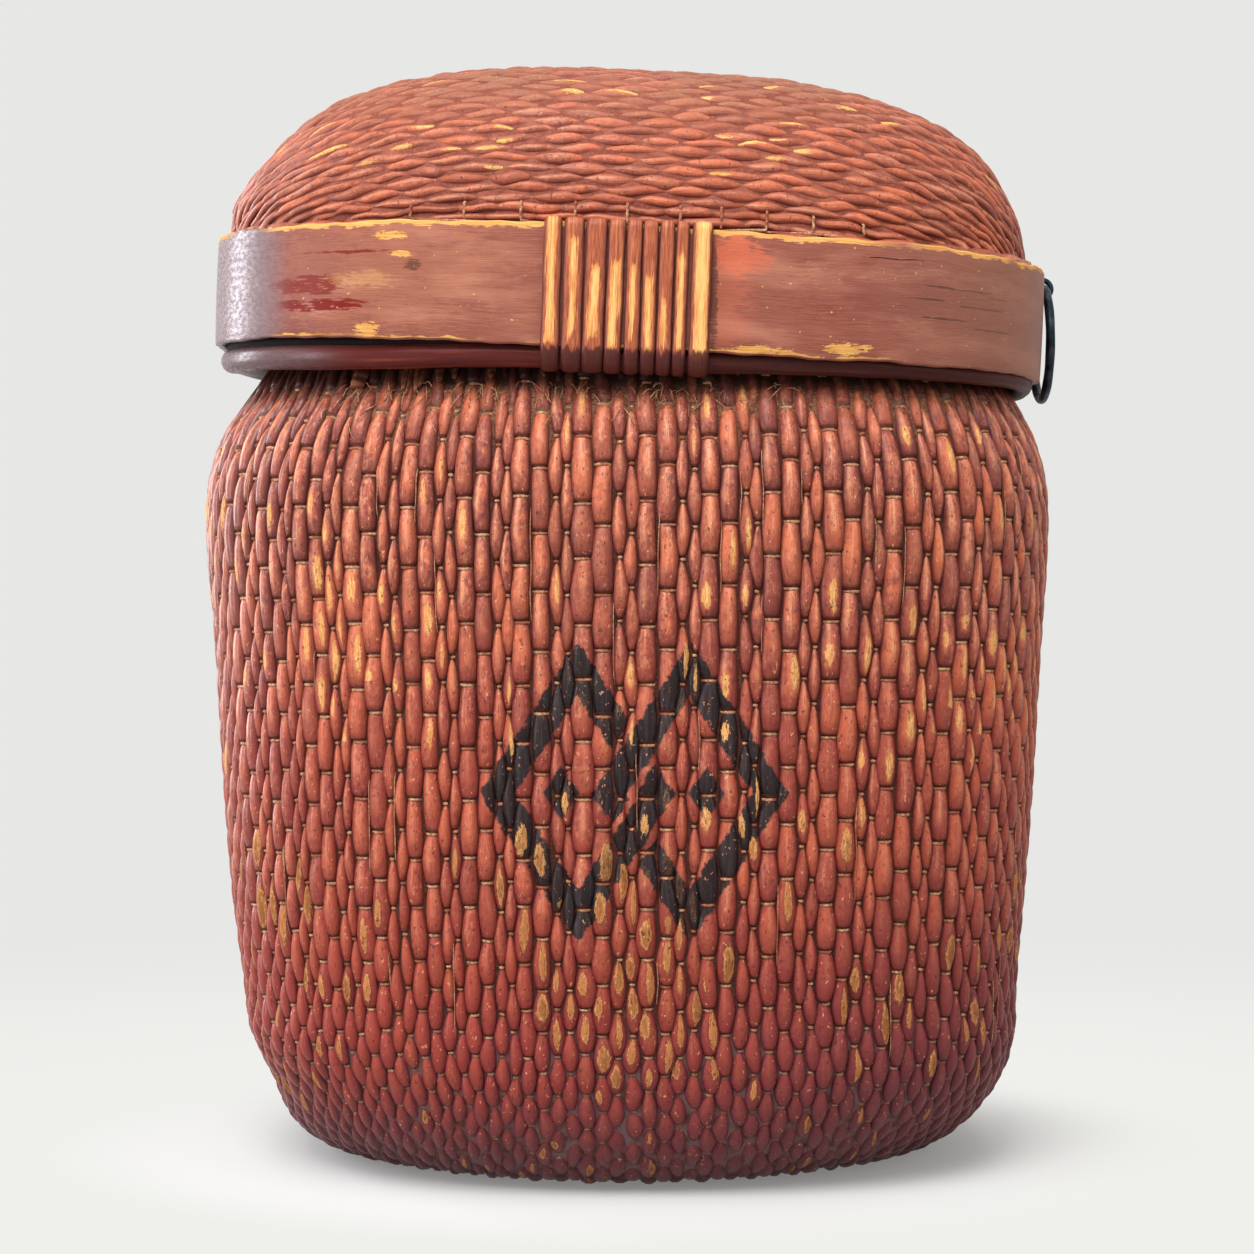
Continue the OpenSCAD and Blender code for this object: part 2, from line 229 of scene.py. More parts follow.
# Side profile of the body from the mouth down to the floor and a little way under it: inset and height
def bodyProfile():
    form = bodyForm
    neck = np.linspace(form["mouthLevel"], form["neckLevel"], 10)
    start = math.acos(1.0 - form["neckInset"] / form["shoulderReach"])
    turn = np.linspace(start, 0.0, 26)[1:]
    taper = np.linspace(form["bellyLevel"], form["bottomRise"], 50)[1:]
    curl = np.linspace(0.0, 0.5 * math.pi, 46)[1:]
    under = np.linspace(0.0, form["underRun"], 8)[1:]
    share = (form["bellyLevel"] - taper) / (form["bellyLevel"] - form["bottomRise"])
    inset = np.concatenate([
        np.full(neck.shape, form["neckInset"]), form["shoulderReach"] * (1.0 - np.cos(turn)),
        form["footInset"] * share ** form["taperPower"],
        form["footInset"] + form["bottomRun"] * (1.0 - np.cos(curl)),
        form["footInset"] + form["bottomRun"] + under])
    height = np.concatenate([
        neck, form["bellyLevel"] + form["shoulderRise"] * np.sin(turn), taper,
        form["bottomRise"] * (1.0 - np.sin(curl)), np.zeros(under.shape)])
    return inset, height


profileInset, profileHeight = bodyProfile()
profileRun = lengthAlong(profileInset, profileHeight)
quarterCount = 240


# Quarter of the plan at each level of the profile, by its length from the middle of the front
def quarterTable():
    f = np.linspace(0.5 * math.pi, 0.0, 1200)
    rows = []
    for inset, height in zip(profileInset, profileHeight):
        px, py, nx, ny, reach = planAt(bodyForm["bellyX"] - inset, f, planPower(height))
        run = lengthAlong(px, py)
        at = np.linspace(0.0, run[-1], quarterCount)
        lead = reach * (nx * np.cos(f) + ny * np.sin(f))
        rows.append([np.interp(at, run, v) for v in (px, py, nx, ny, lead)] + [np.full(at.shape, run[-1])])
    return np.array(rows)


quarters = quarterTable()
bellyQuarter = quarters[:, 5, 0].max()
profileSlope = np.stack([np.gradient(profileInset, profileRun), np.gradient(profileHeight, profileRun)], 1)


def quarterAt(level, share):
    row = np.interp(level, profileRun, np.arange(len(profileRun)))
    col = np.clip(share, 0.0, 1.0) * (quarterCount - 1)
    r = np.minimum(row.astype(int), len(profileRun) - 2)
    c = np.minimum(col.astype(int), quarterCount - 2)
    a, b = (row - r)[:, None], (col - c)[:, None]
    first = quarters[r, :, c] * (1 - b) + quarters[r, :, c + 1] * b
    second = quarters[r + 1, :, c] * (1 - b) + quarters[r + 1, :, c + 1] * b
    return first * (1 - a) + second * a


# The real body isn't even at its sides: how far out it bulges, at what height and over what reach
bodyLean = {
    "from": 0.150, "power": 1.5,
    "left": ((0.0035, 0.315, 0.045), (-0.0064, 0.042, 0.022), (-0.0015, 0.09, 0.03), (-0.003, 0.376, 0.012)),
    "right": ((0.0026, 0.312, 0.045), (0.0022, 0.055, 0.03)),
}


def leanBody(points):
    x, z = points[:, 0], points[:, 2]
    moved = x.copy()
    for sign, side in ((-1.0, "left"), (1.0, "right")):
        weight = np.clip(sign * x / bodyLean["from"], 0.0, 1.0) ** bodyLean["power"]
        for out, level, reach in bodyLean[side]:
            moved += sign * weight * out * np.exp(-((z - level) / reach) ** 2)
    points[:, 0] = moved
    return points


# Point on the body's outside: around is the length along the belly from the middle of the front, level the
# length down the profile. Gives the point, the outward direction and how far columns are drawn together.
def bodyAt(around, level):
    s = np.mod(around, 4.0 * bellyQuarter)
    quadrant = np.minimum((s / bellyQuarter).astype(int), 3)
    a = np.where(quadrant % 2 == 0, s - quadrant * bellyQuarter, (quadrant + 1) * bellyQuarter - s)
    signX = np.where(quadrant < 2, 1.0, -1.0)
    signY = np.where((quadrant == 0) | (quadrant == 3), -1.0, 1.0)
    here = np.interp(level, profileRun, quarters[:, 5, 0])
    less = bellyQuarter - here
    moved = a - less * (a / bellyQuarter) ** 2
    scale = 1.0 - 2.0 * less / bellyQuarter * (a / bellyQuarter)
    px, py, nx, ny, lead, _ = quarterAt(level, moved / here).T
    dInset = np.interp(level, profileRun, profileSlope[:, 0])
    dHeight = np.interp(level, profileRun, profileSlope[:, 1])
    point = np.stack([signX * px, signY * py, np.interp(level, profileRun, profileHeight)], 1)
    outward = np.stack([-dHeight * nx * signX, -dHeight * ny * signY, -lead * dInset], 1)
    outward /= np.linalg.norm(outward, axis=1)[:, None]
    return leanBody(point), outward, scale


def unit(vectors):
    return vectors / np.maximum(np.linalg.norm(vectors, axis=-1, keepdims=True), 1e-12)


# Angles of a whole turn in even steps
def turns(count):
    return np.linspace(0.0, 2.0 * math.pi, count, endpoint=False)


def acrossLine(centre, outward):
    return unit(np.cross(outward, unit(np.gradient(centre, axis=0))))


def store(mesh, key, values):
    mesh.attributes.new(key, "FLOAT", "POINT").data.foreach_set("value", values.ravel())


def smoothMesh(name, points, faces):
    mesh = bpy.data.meshes.new(name)
    mesh.from_pydata(points.tolist(), [], faces)
    mesh.shade_smooth()
    return mesh


# Attributes of a round cord or fibre along its centre
def cordPath(centre, outward, size, closed=False):
    ahead = np.roll(centre, -1, 0) - np.roll(centre, 1, 0) if closed else np.gradient(centre, axis=0)
    along = unit(ahead)
    across = unit(np.cross(outward, along))
    return {"centre": centre, "outward": unit(np.cross(along, across)), "across": across,
            "halfWidth": np.full(len(centre), size)}


# Attributes of a rod whose sizes stay the same along it
def evenRod(centre, outward, across, phase, sizes, number):
    path = {"centre": centre, "outward": outward, "across": across, "phase": phase}
    for key, value in {**sizes, "rodId": float(number)}.items():
        path[key] = np.full(len(phase), value)
    return path


# A guide is a mesh of edges only that carries the attributes from which a tree grows rods
def guideMesh(name, paths, closed=False):
    mesh = bpy.data.meshes.new(name)
    counts = [len(p["centre"]) for p in paths]
    total = sum(counts)
    edges = []
    start = 0
    for count in counts:
        run = np.arange(start, start + count - 1)
        edges.append(np.stack([run, run + 1], 1))
        if closed:
            edges.append(np.array([[start + count - 1, start]]))
        start += count
    edges = np.concatenate(edges)
    mesh.vertices.add(total)
    mesh.edges.add(len(edges))
    mesh.edges.foreach_set("vertices", edges.astype(np.int32).ravel())
    for key in paths[0]:
        values = np.concatenate([np.asarray(p[key], np.float32) for p in paths])
        if values.ndim == 2:
            mesh.attributes.new(key, "FLOAT_VECTOR", "POINT").data.foreach_set("vector", values.ravel())
        else:
            store(mesh, key, values)
        if key == "centre":
            mesh.vertices.foreach_set("co", values.ravel())
    mesh.update()
    return mesh


def startTree(name, sizes):
    group = bpy.data.node_groups.new(name, "GeometryNodeTree")
    group.interface.new_socket(name="Guide", in_out="INPUT", socket_type="NodeSocketGeometry")
    for key, value in sizes.items():
        kind = "NodeSocketInt" if isinstance(value, int) else "NodeSocketFloat"
        made = group.interface.new_socket(name=key, in_out="INPUT", socket_type=kind)
        made.default_value = value
    group.interface.new_socket(name="Finish", in_out="INPUT", socket_type="NodeSocketMaterial")
    group.interface.new_socket(name="Mesh", in_out="OUTPUT", socket_type="NodeSocketGeometry")
    t = Tree(group)
    source = group.nodes.new("NodeGroupInput")
    return t, {out.name: Wire(t, out) for out in source.outputs if out.name}


def endTree(t, mesh, finish):
    smooth = t.node("GeometryNodeSetShadeSmooth", None, {"Geometry": mesh})
    real = t.node("GeometryNodeRealizeInstances", None, {"Geometry": smooth})
    dressed = t.node("GeometryNodeSetMaterial", None, {"Geometry": real, "Material": finish})
    t.node("NodeGroupOutput", None, [dressed])
    return t.tree


def carried(t, name, kind="FLOAT"):
    return t.node("GeometryNodeInputNamedAttribute", {"data_type": kind}, {"Name": name}, "Attribute")


# Tube along the guide whose points know their angle round it
def tubeAlong(t, inputs):
    profile = t.node("GeometryNodeCurvePrimitiveCircle", None, {"Resolution": inputs["Sides"]})
    angle = t.node("GeometryNodeInputIndex") * (2.0 * math.pi) / inputs["Sides"]
    marked = t.node("GeometryNodeStoreNamedAttribute", {"data_type": "FLOAT", "domain": "POINT"},
                    {"Geometry": profile, "Name": "turn", "Value": angle})
    rail = t.node("GeometryNodeMeshToCurve", None, {"Mesh": inputs["Guide"]})
    return t.node("GeometryNodeCurveToMesh", None,
                  {"Curve": rail, "Profile Curve": marked, "Fill Caps": True})


def shapeTube(t, tube, wide, deep, out):
    turn = carried(t, "turn")
    across, outward = carried(t, "across", "FLOAT_VECTOR"), carried(t, "outward", "FLOAT_VECTOR")
    sideways, upward = turn.maths("COSINE"), turn.maths("SINE")
    place = carried(t, "centre", "FLOAT_VECTOR")
    for direction, amount in ((across, sideways * wide), (outward, upward * deep + out)):
        step = t.node("ShaderNodeVectorMath", {"operation": "SCALE"}, {"Vector": direction, "Scale": amount})
        place = t.node("ShaderNodeVectorMath", {"operation": "ADD"}, [place, step])
    moved = t.node("GeometryNodeSetPosition", None, {"Geometry": tube, "Position": place})
    section = t.vector(sideways, upward)
    return t.node("GeometryNodeStoreNamedAttribute", {"data_type": "FLOAT_VECTOR", "domain": "POINT"},
                  {"Geometry": moved, "Name": "section", "Value": section})


# Willow rod that swells between the cords: phase counts its beads
def willowTree():
    t, inputs = startTree("willowWeave", {"Sides": 10, "Width": 1.0, "Depth": 1.0, "Waist depth": 0.72,
                                          "Skew": 1.0})
    along = carried(t, "phase").maths("FRACT").maths("POWER", inputs["Skew"])
    swell = (along * math.pi).maths("SINE").maths("MAXIMUM", 0.0)
    swell = swell ** carried(t, "barrel")
    waist = carried(t, "waist")
    wide = carried(t, "halfWidth") * inputs["Width"] * (waist + (1.0 - waist) * swell)
    hollow = inputs["Waist depth"]
    deep = carried(t, "halfDepth") * inputs["Depth"] * (hollow + (1.0 - hollow) * swell)
    out = carried(t, "rise") * (swell - 1.0)
    return endTree(t, shapeTube(t, tubeAlong(t, inputs), wide, deep, out), inputs["Finish"])


# Hemp cord or loose fibre of even thickness, a little uneven along its length
def cordTree():
    t, inputs = startTree("hempCord", {"Sides": 6, "Thickness": 1.0, "Unevenness": 0.18})
    ripple = t.noise(carried(t, "centre", "FLOAT_VECTOR"), 420.0, 1.0) - 0.5
    size = carried(t, "halfWidth") * inputs["Thickness"] * (1.0 + ripple * inputs["Unevenness"] * 2.0)
    return endTree(t, shapeTube(t, tubeAlong(t, inputs), size, size, 0.0), inputs["Finish"])


def signedVolume(mesh):
    mesh.calc_loop_triangles()
    points = np.empty(len(mesh.vertices) * 3, np.float32)
    mesh.vertices.foreach_get("co", points)
    points = points.reshape(-1, 3).astype(np.float64)
    corners = np.empty(len(mesh.loop_triangles) * 3, np.int32)
    mesh.loop_triangles.foreach_get("vertices", corners)
    a, b, c = points[corners.reshape(-1, 3)].transpose(1, 0, 2)
    return float(np.einsum("ij,ij->i", a, np.cross(b, c)).sum())


def addPiece(name, mesh, body, nodes=(), material=None):
    if signedVolume(mesh) < 0.0:
        mesh.flip_normals()
    piece = addObject(name, mesh)
    if material is not None:
        mesh.materials.clear()
        mesh.materials.append(material)
    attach(piece, body)
    if nodes:
        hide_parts(*nodes)
    return piece


# Mesh of a carrier with its modifiers applied
def applied(carrier):
    depsgraph = bpy.context.evaluated_depsgraph_get()
    mesh = bpy.data.meshes.new_from_object(carrier.evaluated_get(depsgraph), preserve_all_data_layers=True,
                                           depsgraph=depsgraph)
    source = carrier.data
    bpy.data.objects.remove(carrier)
    bpy.data.meshes.remove(source)
    return mesh


def grow(name, paths, tree, sizes, material, body, nodes=(), closed=False):
    carrier = addObject(name + "Guide", guideMesh(name + "Guide", paths, closed))
    modifier = carrier.modifiers.new("grow", "NODES")
    modifier.node_group = tree
    for item in tree.interface.items_tree:
        if item.name in sizes:
            modifier[item.identifier] = sizes[item.name]
        if item.name == "Finish":
            modifier[item.identifier] = material
    mesh = applied(carrier)
    kept = {"section", "phase", "rodId", "marked", "position", "sharp_face", "material_index"}
    for key in [a.name for a in mesh.attributes if a.name not in kept and not a.name.startswith(".")]:
        mesh.attributes.remove(mesh.attributes[key])
    mesh.name = name
    return addPiece(name, mesh, body, nodes)


# Solid swept along a path: section rows are (across, outward) pairs, one row for each path point or
# one for all
def sweep(name, centres, across, outward, section, closed=False, attributes=None):
    count = len(centres)
    section = np.asarray(section, float)
    if section.ndim == 2:
        section = np.repeat(section[None], count, 0)
    sides = section.shape[1]
    points = centres[:, None] + across[:, None] * section[..., :1] + outward[:, None] * section[..., 1:2]
    ring = np.arange(count if closed else count - 1)
    i, k = np.meshgrid(ring, np.arange(sides), indexing="ij")
    i, k = i.ravel(), k.ravel()
    n, m = (i + 1) % count, (k + 1) % sides
    quads = np.stack([i * sides + k, i * sides + m, n * sides + m, n * sides + k], 1)
    faces = quads.tolist()
    if not closed:
        faces.append(list(range(sides))[::-1])
        faces.append([(count - 1) * sides + j for j in range(sides)])
    mesh = smoothMesh(name, points.reshape(-1, 3), faces)
    for key, values in (attributes or {}).items():
        values = np.asarray(values, np.float32)
        if values.ndim == 1:
            values = np.repeat(values[:, None], sides, 1)
        store(mesh, key, values)
    return mesh


def joinMeshes(name, meshes):
    points, faces, start = [], [], 0
    stored = {}
    for mesh in meshes:
        co = np.empty(len(mesh.vertices) * 3, np.float32)
        mesh.vertices.foreach_get("co", co)
        points.append(co.reshape(-1, 3))
        faces += [[v + start for v in p.vertices] for p in mesh.polygons]
        for a in mesh.attributes:
            if a.data_type == "FLOAT" and a.domain == "POINT":
                values = np.empty(len(mesh.vertices), np.float32)
                a.data.foreach_get("value", values)
                stored.setdefault(a.name, []).append(values)
        start += len(mesh.vertices)
    whole = smoothMesh(name, np.concatenate(points), faces)
    for key, values in stored.items():
        store(whole, key, np.concatenate(values))
    for mesh in meshes:
        bpy.data.meshes.remove(mesh)
    return whole


# Faces of a closed sheet of rows of points
def sheetFaces(rows, around):
    faces = []
    for i in range(rows - 1):
        for k in range(around):
            n = (k + 1) % around
            faces.append((i * around + k, (i + 1) * around + k, (i + 1) * around + n, i * around + n))
    return faces


def roundSection(across, outward, sides=12):
    angle = turns(sides)
    return np.stack([across * np.cos(angle), outward * np.sin(angle)], -1)


# Rounded bar section, flat on its faces
def barSection(halfWidth, halfDepth, corner, steps=3):
    points = []
    for sx, sy, start in ((1, 1, 0.0), (-1, 1, 90.0), (-1, -1, 180.0), (1, -1, 270.0)):
        for k in range(steps + 1):
            angle = math.radians(start + 90.0 * k / steps)
            points.append((sx * (halfWidth - corner) + corner * math.cos(angle),
                           sy * (halfDepth - corner) + corner * math.sin(angle)))
    return np.array(points)


# From the lid's own level heights to the shared frame
def onLid(points, direction=False):
    c, s = math.cos(lidForm["slant"]), math.sin(lidForm["slant"])
    x, y, z = points[..., 0], points[..., 1], points[..., 2]
    lift = 0.0 if direction else lidForm["level"]
    return np.stack([x * c + z * s, y, -x * s + z * c + lift], -1)


def allOnLid(centre, across, outward):
    return onLid(centre), onLid(across, True), onLid(outward, True)


def colours(**tones):
    return {key: srgb(*tone) for key, tone in tones.items()}


# Colours of the lacquered willow, as they look in daylight; some tones are also laid on as painted shade and
# painted highlight
lacquerLook = colours(
    deep=(92, 38, 34), mid=(170, 86, 68), light=(230, 158, 120), orange=(210, 110, 74), dusk=(112, 54, 50),
    low=(92, 40, 50), red=(152, 52, 42), powder=(144, 118, 116), ochre=(214, 150, 88), pale=(244, 200, 132),
    tan=(176, 112, 62), olive=(122, 80, 42), outline=(84, 38, 26), rim=(214, 160, 128), bare=(190, 156, 108),
    bareDark=(150, 112, 72), hemp=(166, 146, 116), black=(20, 18, 20), slate=(66, 62, 66), gap=(80, 37, 31),
    soot=(38, 20, 22), grime=(150, 96, 70))
# Places in metres between which a tone comes in: heights, and how far left or right of the middle
toneFrom = {"red": (0.31, 0.19), "redder": (0.16, 0.08), "necks": (0.165, 0.13), "keptCrowns": (0.0, 0.07),
            "keptLeft": (0.0, 0.13), "powderLeft": (0.13, -0.03), "crownGrime": (0.485, 0.525),
            "front": (0.05, -0.02), "smallLow": (0.065, 0.03), "neckDust": (0.352, 0.385),
            "seamPowder": (0.10, 0.06), "underRim": (0.366, 0.383), "glossLeft": (-0.12, -0.19)}


# Generic painted sign: two interlaced lozenges, each with a small one inside
def interlaced(t, x, z, wobble):
    look = {"middle": 0.0025, "apart": 0.0255, "level": 0.1925, "halfWide": 0.0365, "halfHigh": 0.0565,
            "stroke": 0.0068, "gap": 0.0028, "edge": 0.0006, "cross": 0.002, "clear": 0.0008,
            "dots": (-0.0305, 0.0355), "dotWide": 0.0085, "dotHigh": 0.0125}
    scale = 1.0 / math.hypot(1.0 / look["halfWide"], 1.0 / look["halfHigh"])
    rows = []
    for side in (-1.0, 1.0):
        across = abs(x - (look["middle"] + side * look["apart"])) / look["halfWide"]
        up = abs(z - look["level"]) / look["halfHigh"]
        rows.append(abs(across + up - 1.0) * scale + wobble)
    wide, far = look["stroke"], look["stroke"] + look["gap"]
    upper = t.smooth(z, look["level"] - look["cross"], look["level"] + look["cross"])
    left, right = (t.smooth(row, wide + look["edge"], wide - look["edge"]) for row in rows)
    clearRight, clearLeft = (t.smooth(row, far, far + look["clear"]) for row in rows)
    left = left * t.either(clearLeft, 1.0 - upper)
    right = right * t.either(clearRight, upper)
    mask = t.either(left, right)
    for middle in look["dots"]:
        dot = abs(x - middle) / look["dotWide"] + abs(z - look["level"]) / look["dotHigh"] + wobble * 60.0
        mask = t.either(mask, t.smooth(dot, 1.1, 0.9))
    return mask


# What each point of a rod knows: where it is on the basket, round the rod and along its bead, and its noises
def readRod(t):
    p = SimpleNamespace(place=t.node("ShaderNodeTexCoord", None, None, "Object"))
    p.x, p.y, p.z = t.parts(p.place)
    p.sideways, p.crown, _ = t.parts(t.attribute("section", "Vector"))
    p.phase, p.rod = t.attribute("phase"), t.attribute("rodId")
    p.along, bead = p.phase.maths("FRACT"), p.phase.maths("FLOOR")
    p.red, p.green, p.blue = t.parts(t.chance(t.vector(p.rod, bead, 3.0), "Color"))
    p.other = t.chance(t.vector(p.rod, bead, 11.0))
    p.streak = t.noise(t.vector(p.sideways * 2.6, p.crown * 1.4, p.phase * 1.1 + p.rod * 9.1), 1.2, 3.0)
    p.grain = t.noise(t.vector(p.sideways * 4.2, p.crown * 3.0, p.phase * 4.4 + p.rod * 3.7), 1.6, 4.0, 0.65)
    p.ragged = t.noise(t.vector(p.sideways * 2.4, p.crown * 2.0, p.phase * 7.0 + p.rod * 5.3), 1.3, 4.0, 0.7)
    p.cloud = t.noise(p.place, 14.0, 3.0)
    p.mottle = t.noise(p.place, 230.0, 3.0, 0.6)
    return p


# Lacquer by how far out a point is, with painted shade on the sides of each bead, mottled, with a lighter
# streak down each bead that is a painted highlight and partly wear
def layLacquer(t, p, look, base):
    blotch = t.noise(t.vector(p.x, p.y, p.z * 0.6 + 3.0), 150.0, 3.0, 0.6)
    stroke = t.noise(t.vector(p.sideways * 1.7, p.crown, p.phase * 5.2 + p.rod * 2.3), 1.5, 4.0, 0.6)
    # painted shade: the sides of each bead darker than its crown
    top = t.smooth(p.crown, base["round"], 1.0)
    paint = Paint(t, look, top, "deep", "mid")
    paint.over(t.smooth(p.mottle, 0.48, 0.64) * 0.75, "dusk")
    paint.over(t.smooth(stroke, 0.46, 0.36) * 0.65, "dusk")
    paint.over(t.smooth(blotch + p.green * 0.14, 0.54, 0.72) * 0.75 * top, "orange")
    # painted highlight, partly wear: a light streak down the crown of each bead, towards the side the light
    # comes from
    crest = t.hump(p.sideways, (p.green - 0.5) * 0.7 + base["crest"], 0.30) * top
    crest = crest * t.smooth(p.streak + p.red * 0.2, 0.42, 0.66)
    crest = crest * t.smooth(p.along, 0.88, 0.45) * t.smooth(p.grain, 0.30, 0.55)
    paint.over(crest, "light")
    # lighter strokes on the crowns, partly painted highlight and partly wear
    paint.over(t.smooth(stroke, 0.54, 0.64) * top * 0.5, "light")
    paint.over(t.smooth(p.cloud + p.green * 0.30, 0.5, 0.85) * 0.5, "orange")
    paint.over(t.smooth(p.blue + (p.mottle - 0.5) * 0.8, 0.45, 1.0) * 0.60, "dusk")
    paint.over(t.smooth(p.grain, 0.54, 0.70) * 0.50, "outline")
    return paint, top


# Painted shade at the lower ends, waists and one side of each bead, and darker and redder lower down, partly
# painted shade and partly grime, with powder at the foot and grime on the crown
def shadeRod(t, p, base, paint, top):
    # painted shade: the lower end of each bead darker, as under light from above
    paint.over(t.smooth(p.along, 0.52, 1.0) * base["fall"], "deep")
    # painted shade down the side of each bead that faces away from the light
    paint.over(t.smooth(p.sideways * base["shadeSide"], 0.15, 0.95) * base["shade"], "deep")
    # painted shade at the waists between beads
    necks = t.either(t.smooth(p.along, 0.15, 0.02), t.smooth(p.along, 0.85, 0.98)) * base["necks"]
    paint.over(necks * t.smooth(abs(p.x), *toneFrom["necks"]), "deep")
    # redder and darker lower down: partly the lacquer's own tone, partly a painted fall-off of the light
    reds = [t.smooth(p.z, *toneFrom[key]) * base["redder"] for key in ("red", "redder")]
    paint.over(reds[0] + reds[1], "red")
    # darker towards the floor and to the right, partly painted shade and partly grime; the crowns there, more
    # at the left, are left lighter as where light falls
    lowness = t.smooth(p.z + (p.x + 0.2) * base["slope"], base["low"], 0.0) * base["lowAmount"]
    kept = top * t.smooth(p.z, *toneFrom["keptCrowns"]) * (0.75 - t.smooth(p.x, *toneFrom["keptLeft"]) * 0.5)
    paint.over(lowness * (1.0 - kept), "low")
    powder = t.smooth(p.z + (p.mottle - 0.5) * 0.03, base["dustLow"], 0.010) * t.smooth(p.crown, 0.62, 0.15)
    paint.over(powder * t.smooth(p.x, *toneFrom["powderLeft"]) * base["powder"], "powder")
    cloudy = t.smooth(p.cloud + (p.mottle - 0.5) * 0.5, 0.36, 0.60)
    paint.over(t.smooth(p.z, *toneFrom["crownGrime"]) * cloudy * base["grime"], "grime")


# Worn patches: streaks higher up, outlined lenses near the floor, more of them round the given spots
def wornPatches(t, p, look, spots, base):
    often = base["wear"]
    for cx, cz, rx, rz, amount in spots:
        often = t.either(often, t.hump(p.x, cx, rx) * t.hump(p.z, cz, rz) * amount)
    often = (often - base["wear"]) * t.smooth(p.y, *toneFrom["front"]) + base["wear"]
    marked, ringed = t.attribute("marked"), t.smooth(p.z, base["ringed"] + 0.05, base["ringed"])
    picked = t.smooth(marked, 0.4, 0.6)
    large = t.smooth(marked, 1.6, 1.9) * 0.8 + ringed * 0.35 + 1.0 + picked * 0.15
    large = large * (1.0 - t.smooth(p.z, *toneFrom["smallLow"]) * t.smooth(marked, 0.6, 0.4) * 0.4)
    heightOn = (p.blue * 0.36 + 0.30) * (1.0 - picked) + marked.maths("FRACT") * 2.0 * picked
    lens = ((p.sideways - (p.green - 0.5) * 0.8) / ((p.red * 0.24 + 0.24) * large)) ** 2
    lens = lens + ((p.along - heightOn) / ((p.green * 0.16 + 0.16) * large)) ** 2
    lens = lens + ((p.ragged - 0.5) * base["ragged"] + (p.grain - 0.5) * 2.6) * (1.0 - ringed * 0.35)
    chosen = t.node("ShaderNodeMath", {"operation": "LESS_THAN"}, [p.other, often])
    chosen = t.either(chosen, picked)
    facing = t.smooth(p.crown, 0.1, 0.35)
    halo = t.smooth(lens, 2.8, 0.7) * chosen * facing
    worn = t.smooth(lens, 1.03, 0.88) * chosen * facing * t.smooth(p.grain, 0.34, 0.41)
    heart = t.smooth(lens, 0.5, 0.2) * ringed * t.smooth(p.red, 0.3, 0.6)
    wood = t.mix(t.smooth(p.grain + (p.ragged - 0.5) * 0.5, 0.44, 0.70), look["ochre"], look["pale"])
    wood = t.mix(ringed * t.smooth(lens, 0.88, 0.70) * 0.9, wood, look["tan"])
    return worn, halo, ringed, t.mix(heart * 0.6, wood, look["olive"])


def paintSign(t, p, paint):
    wobble = (t.noise(p.place, 190.0, 2.0) - 0.5) * 0.0052 + (t.noise(p.place, 620.0, 2.0) - 0.5) * 0.0024
    ink = interlaced(t, p.x, p.z, wobble) * t.smooth(p.y, 0.0, -0.05)
    ink = ink * t.smooth(p.crown + (p.grain - 0.5) * 0.8, -0.10, 0.15)
    ink = ink * t.smooth(p.mottle + p.ragged, 1.36, 1.22)
    faded = t.smooth(p.streak + p.crown * 0.1, 0.5, 0.8) * 0.45
    paint.over(ink * 0.97, t.mix(faded, paint.look["black"], paint.look["slate"]))


# Painted shade in the gaps at the joints and between rods, with dust in the seams, and a painted shadow under
# the rim
def fillSeams(t, p, look, base, paint):
    # painted shade where the beads meet and down the sides of the rods
    ends = t.smooth(p.along + (p.ragged - 0.5) * 0.03, 0.930, 0.965)
    joint = t.either(ends, t.smooth(p.along, 0.018, 0.004) * 0.6)
    sides = t.either(t.smooth(p.sideways * base["shadeSide"], -0.3, 0.5), base["outline"])
    gap = t.either(joint * base["joint"], t.smooth(p.crown, 0.46, 0.06) * sides)
    dust = t.noise(p.place, 300.0, 3.0)
    foot = t.smooth(p.z, base["dustLow"], base["dustLow"] * 0.4)
    dusty = t.either(foot, t.smooth(p.z, *toneFrom["neckDust"])) * base["dust"]
    dusty = t.either(dusty, t.smooth(p.cloud, 0.52, 0.66) * base["dust"] * 0.2)
    seam = t.mix(t.smooth(p.z, *toneFrom["seamPowder"]), look["hemp"], look["powder"])
    seam = t.mix(t.smooth(dust, 0.38, 0.62) * dusty, look["gap"], seam)
    paint.over(gap * 0.9, seam)
    # painted shadow under the rim
    sooty = t.smooth(p.z + (dust - 0.5) * 0.012, *toneFrom["underRim"]) * base["underRim"]
    paint.over(sooty, "soot")
    return gap


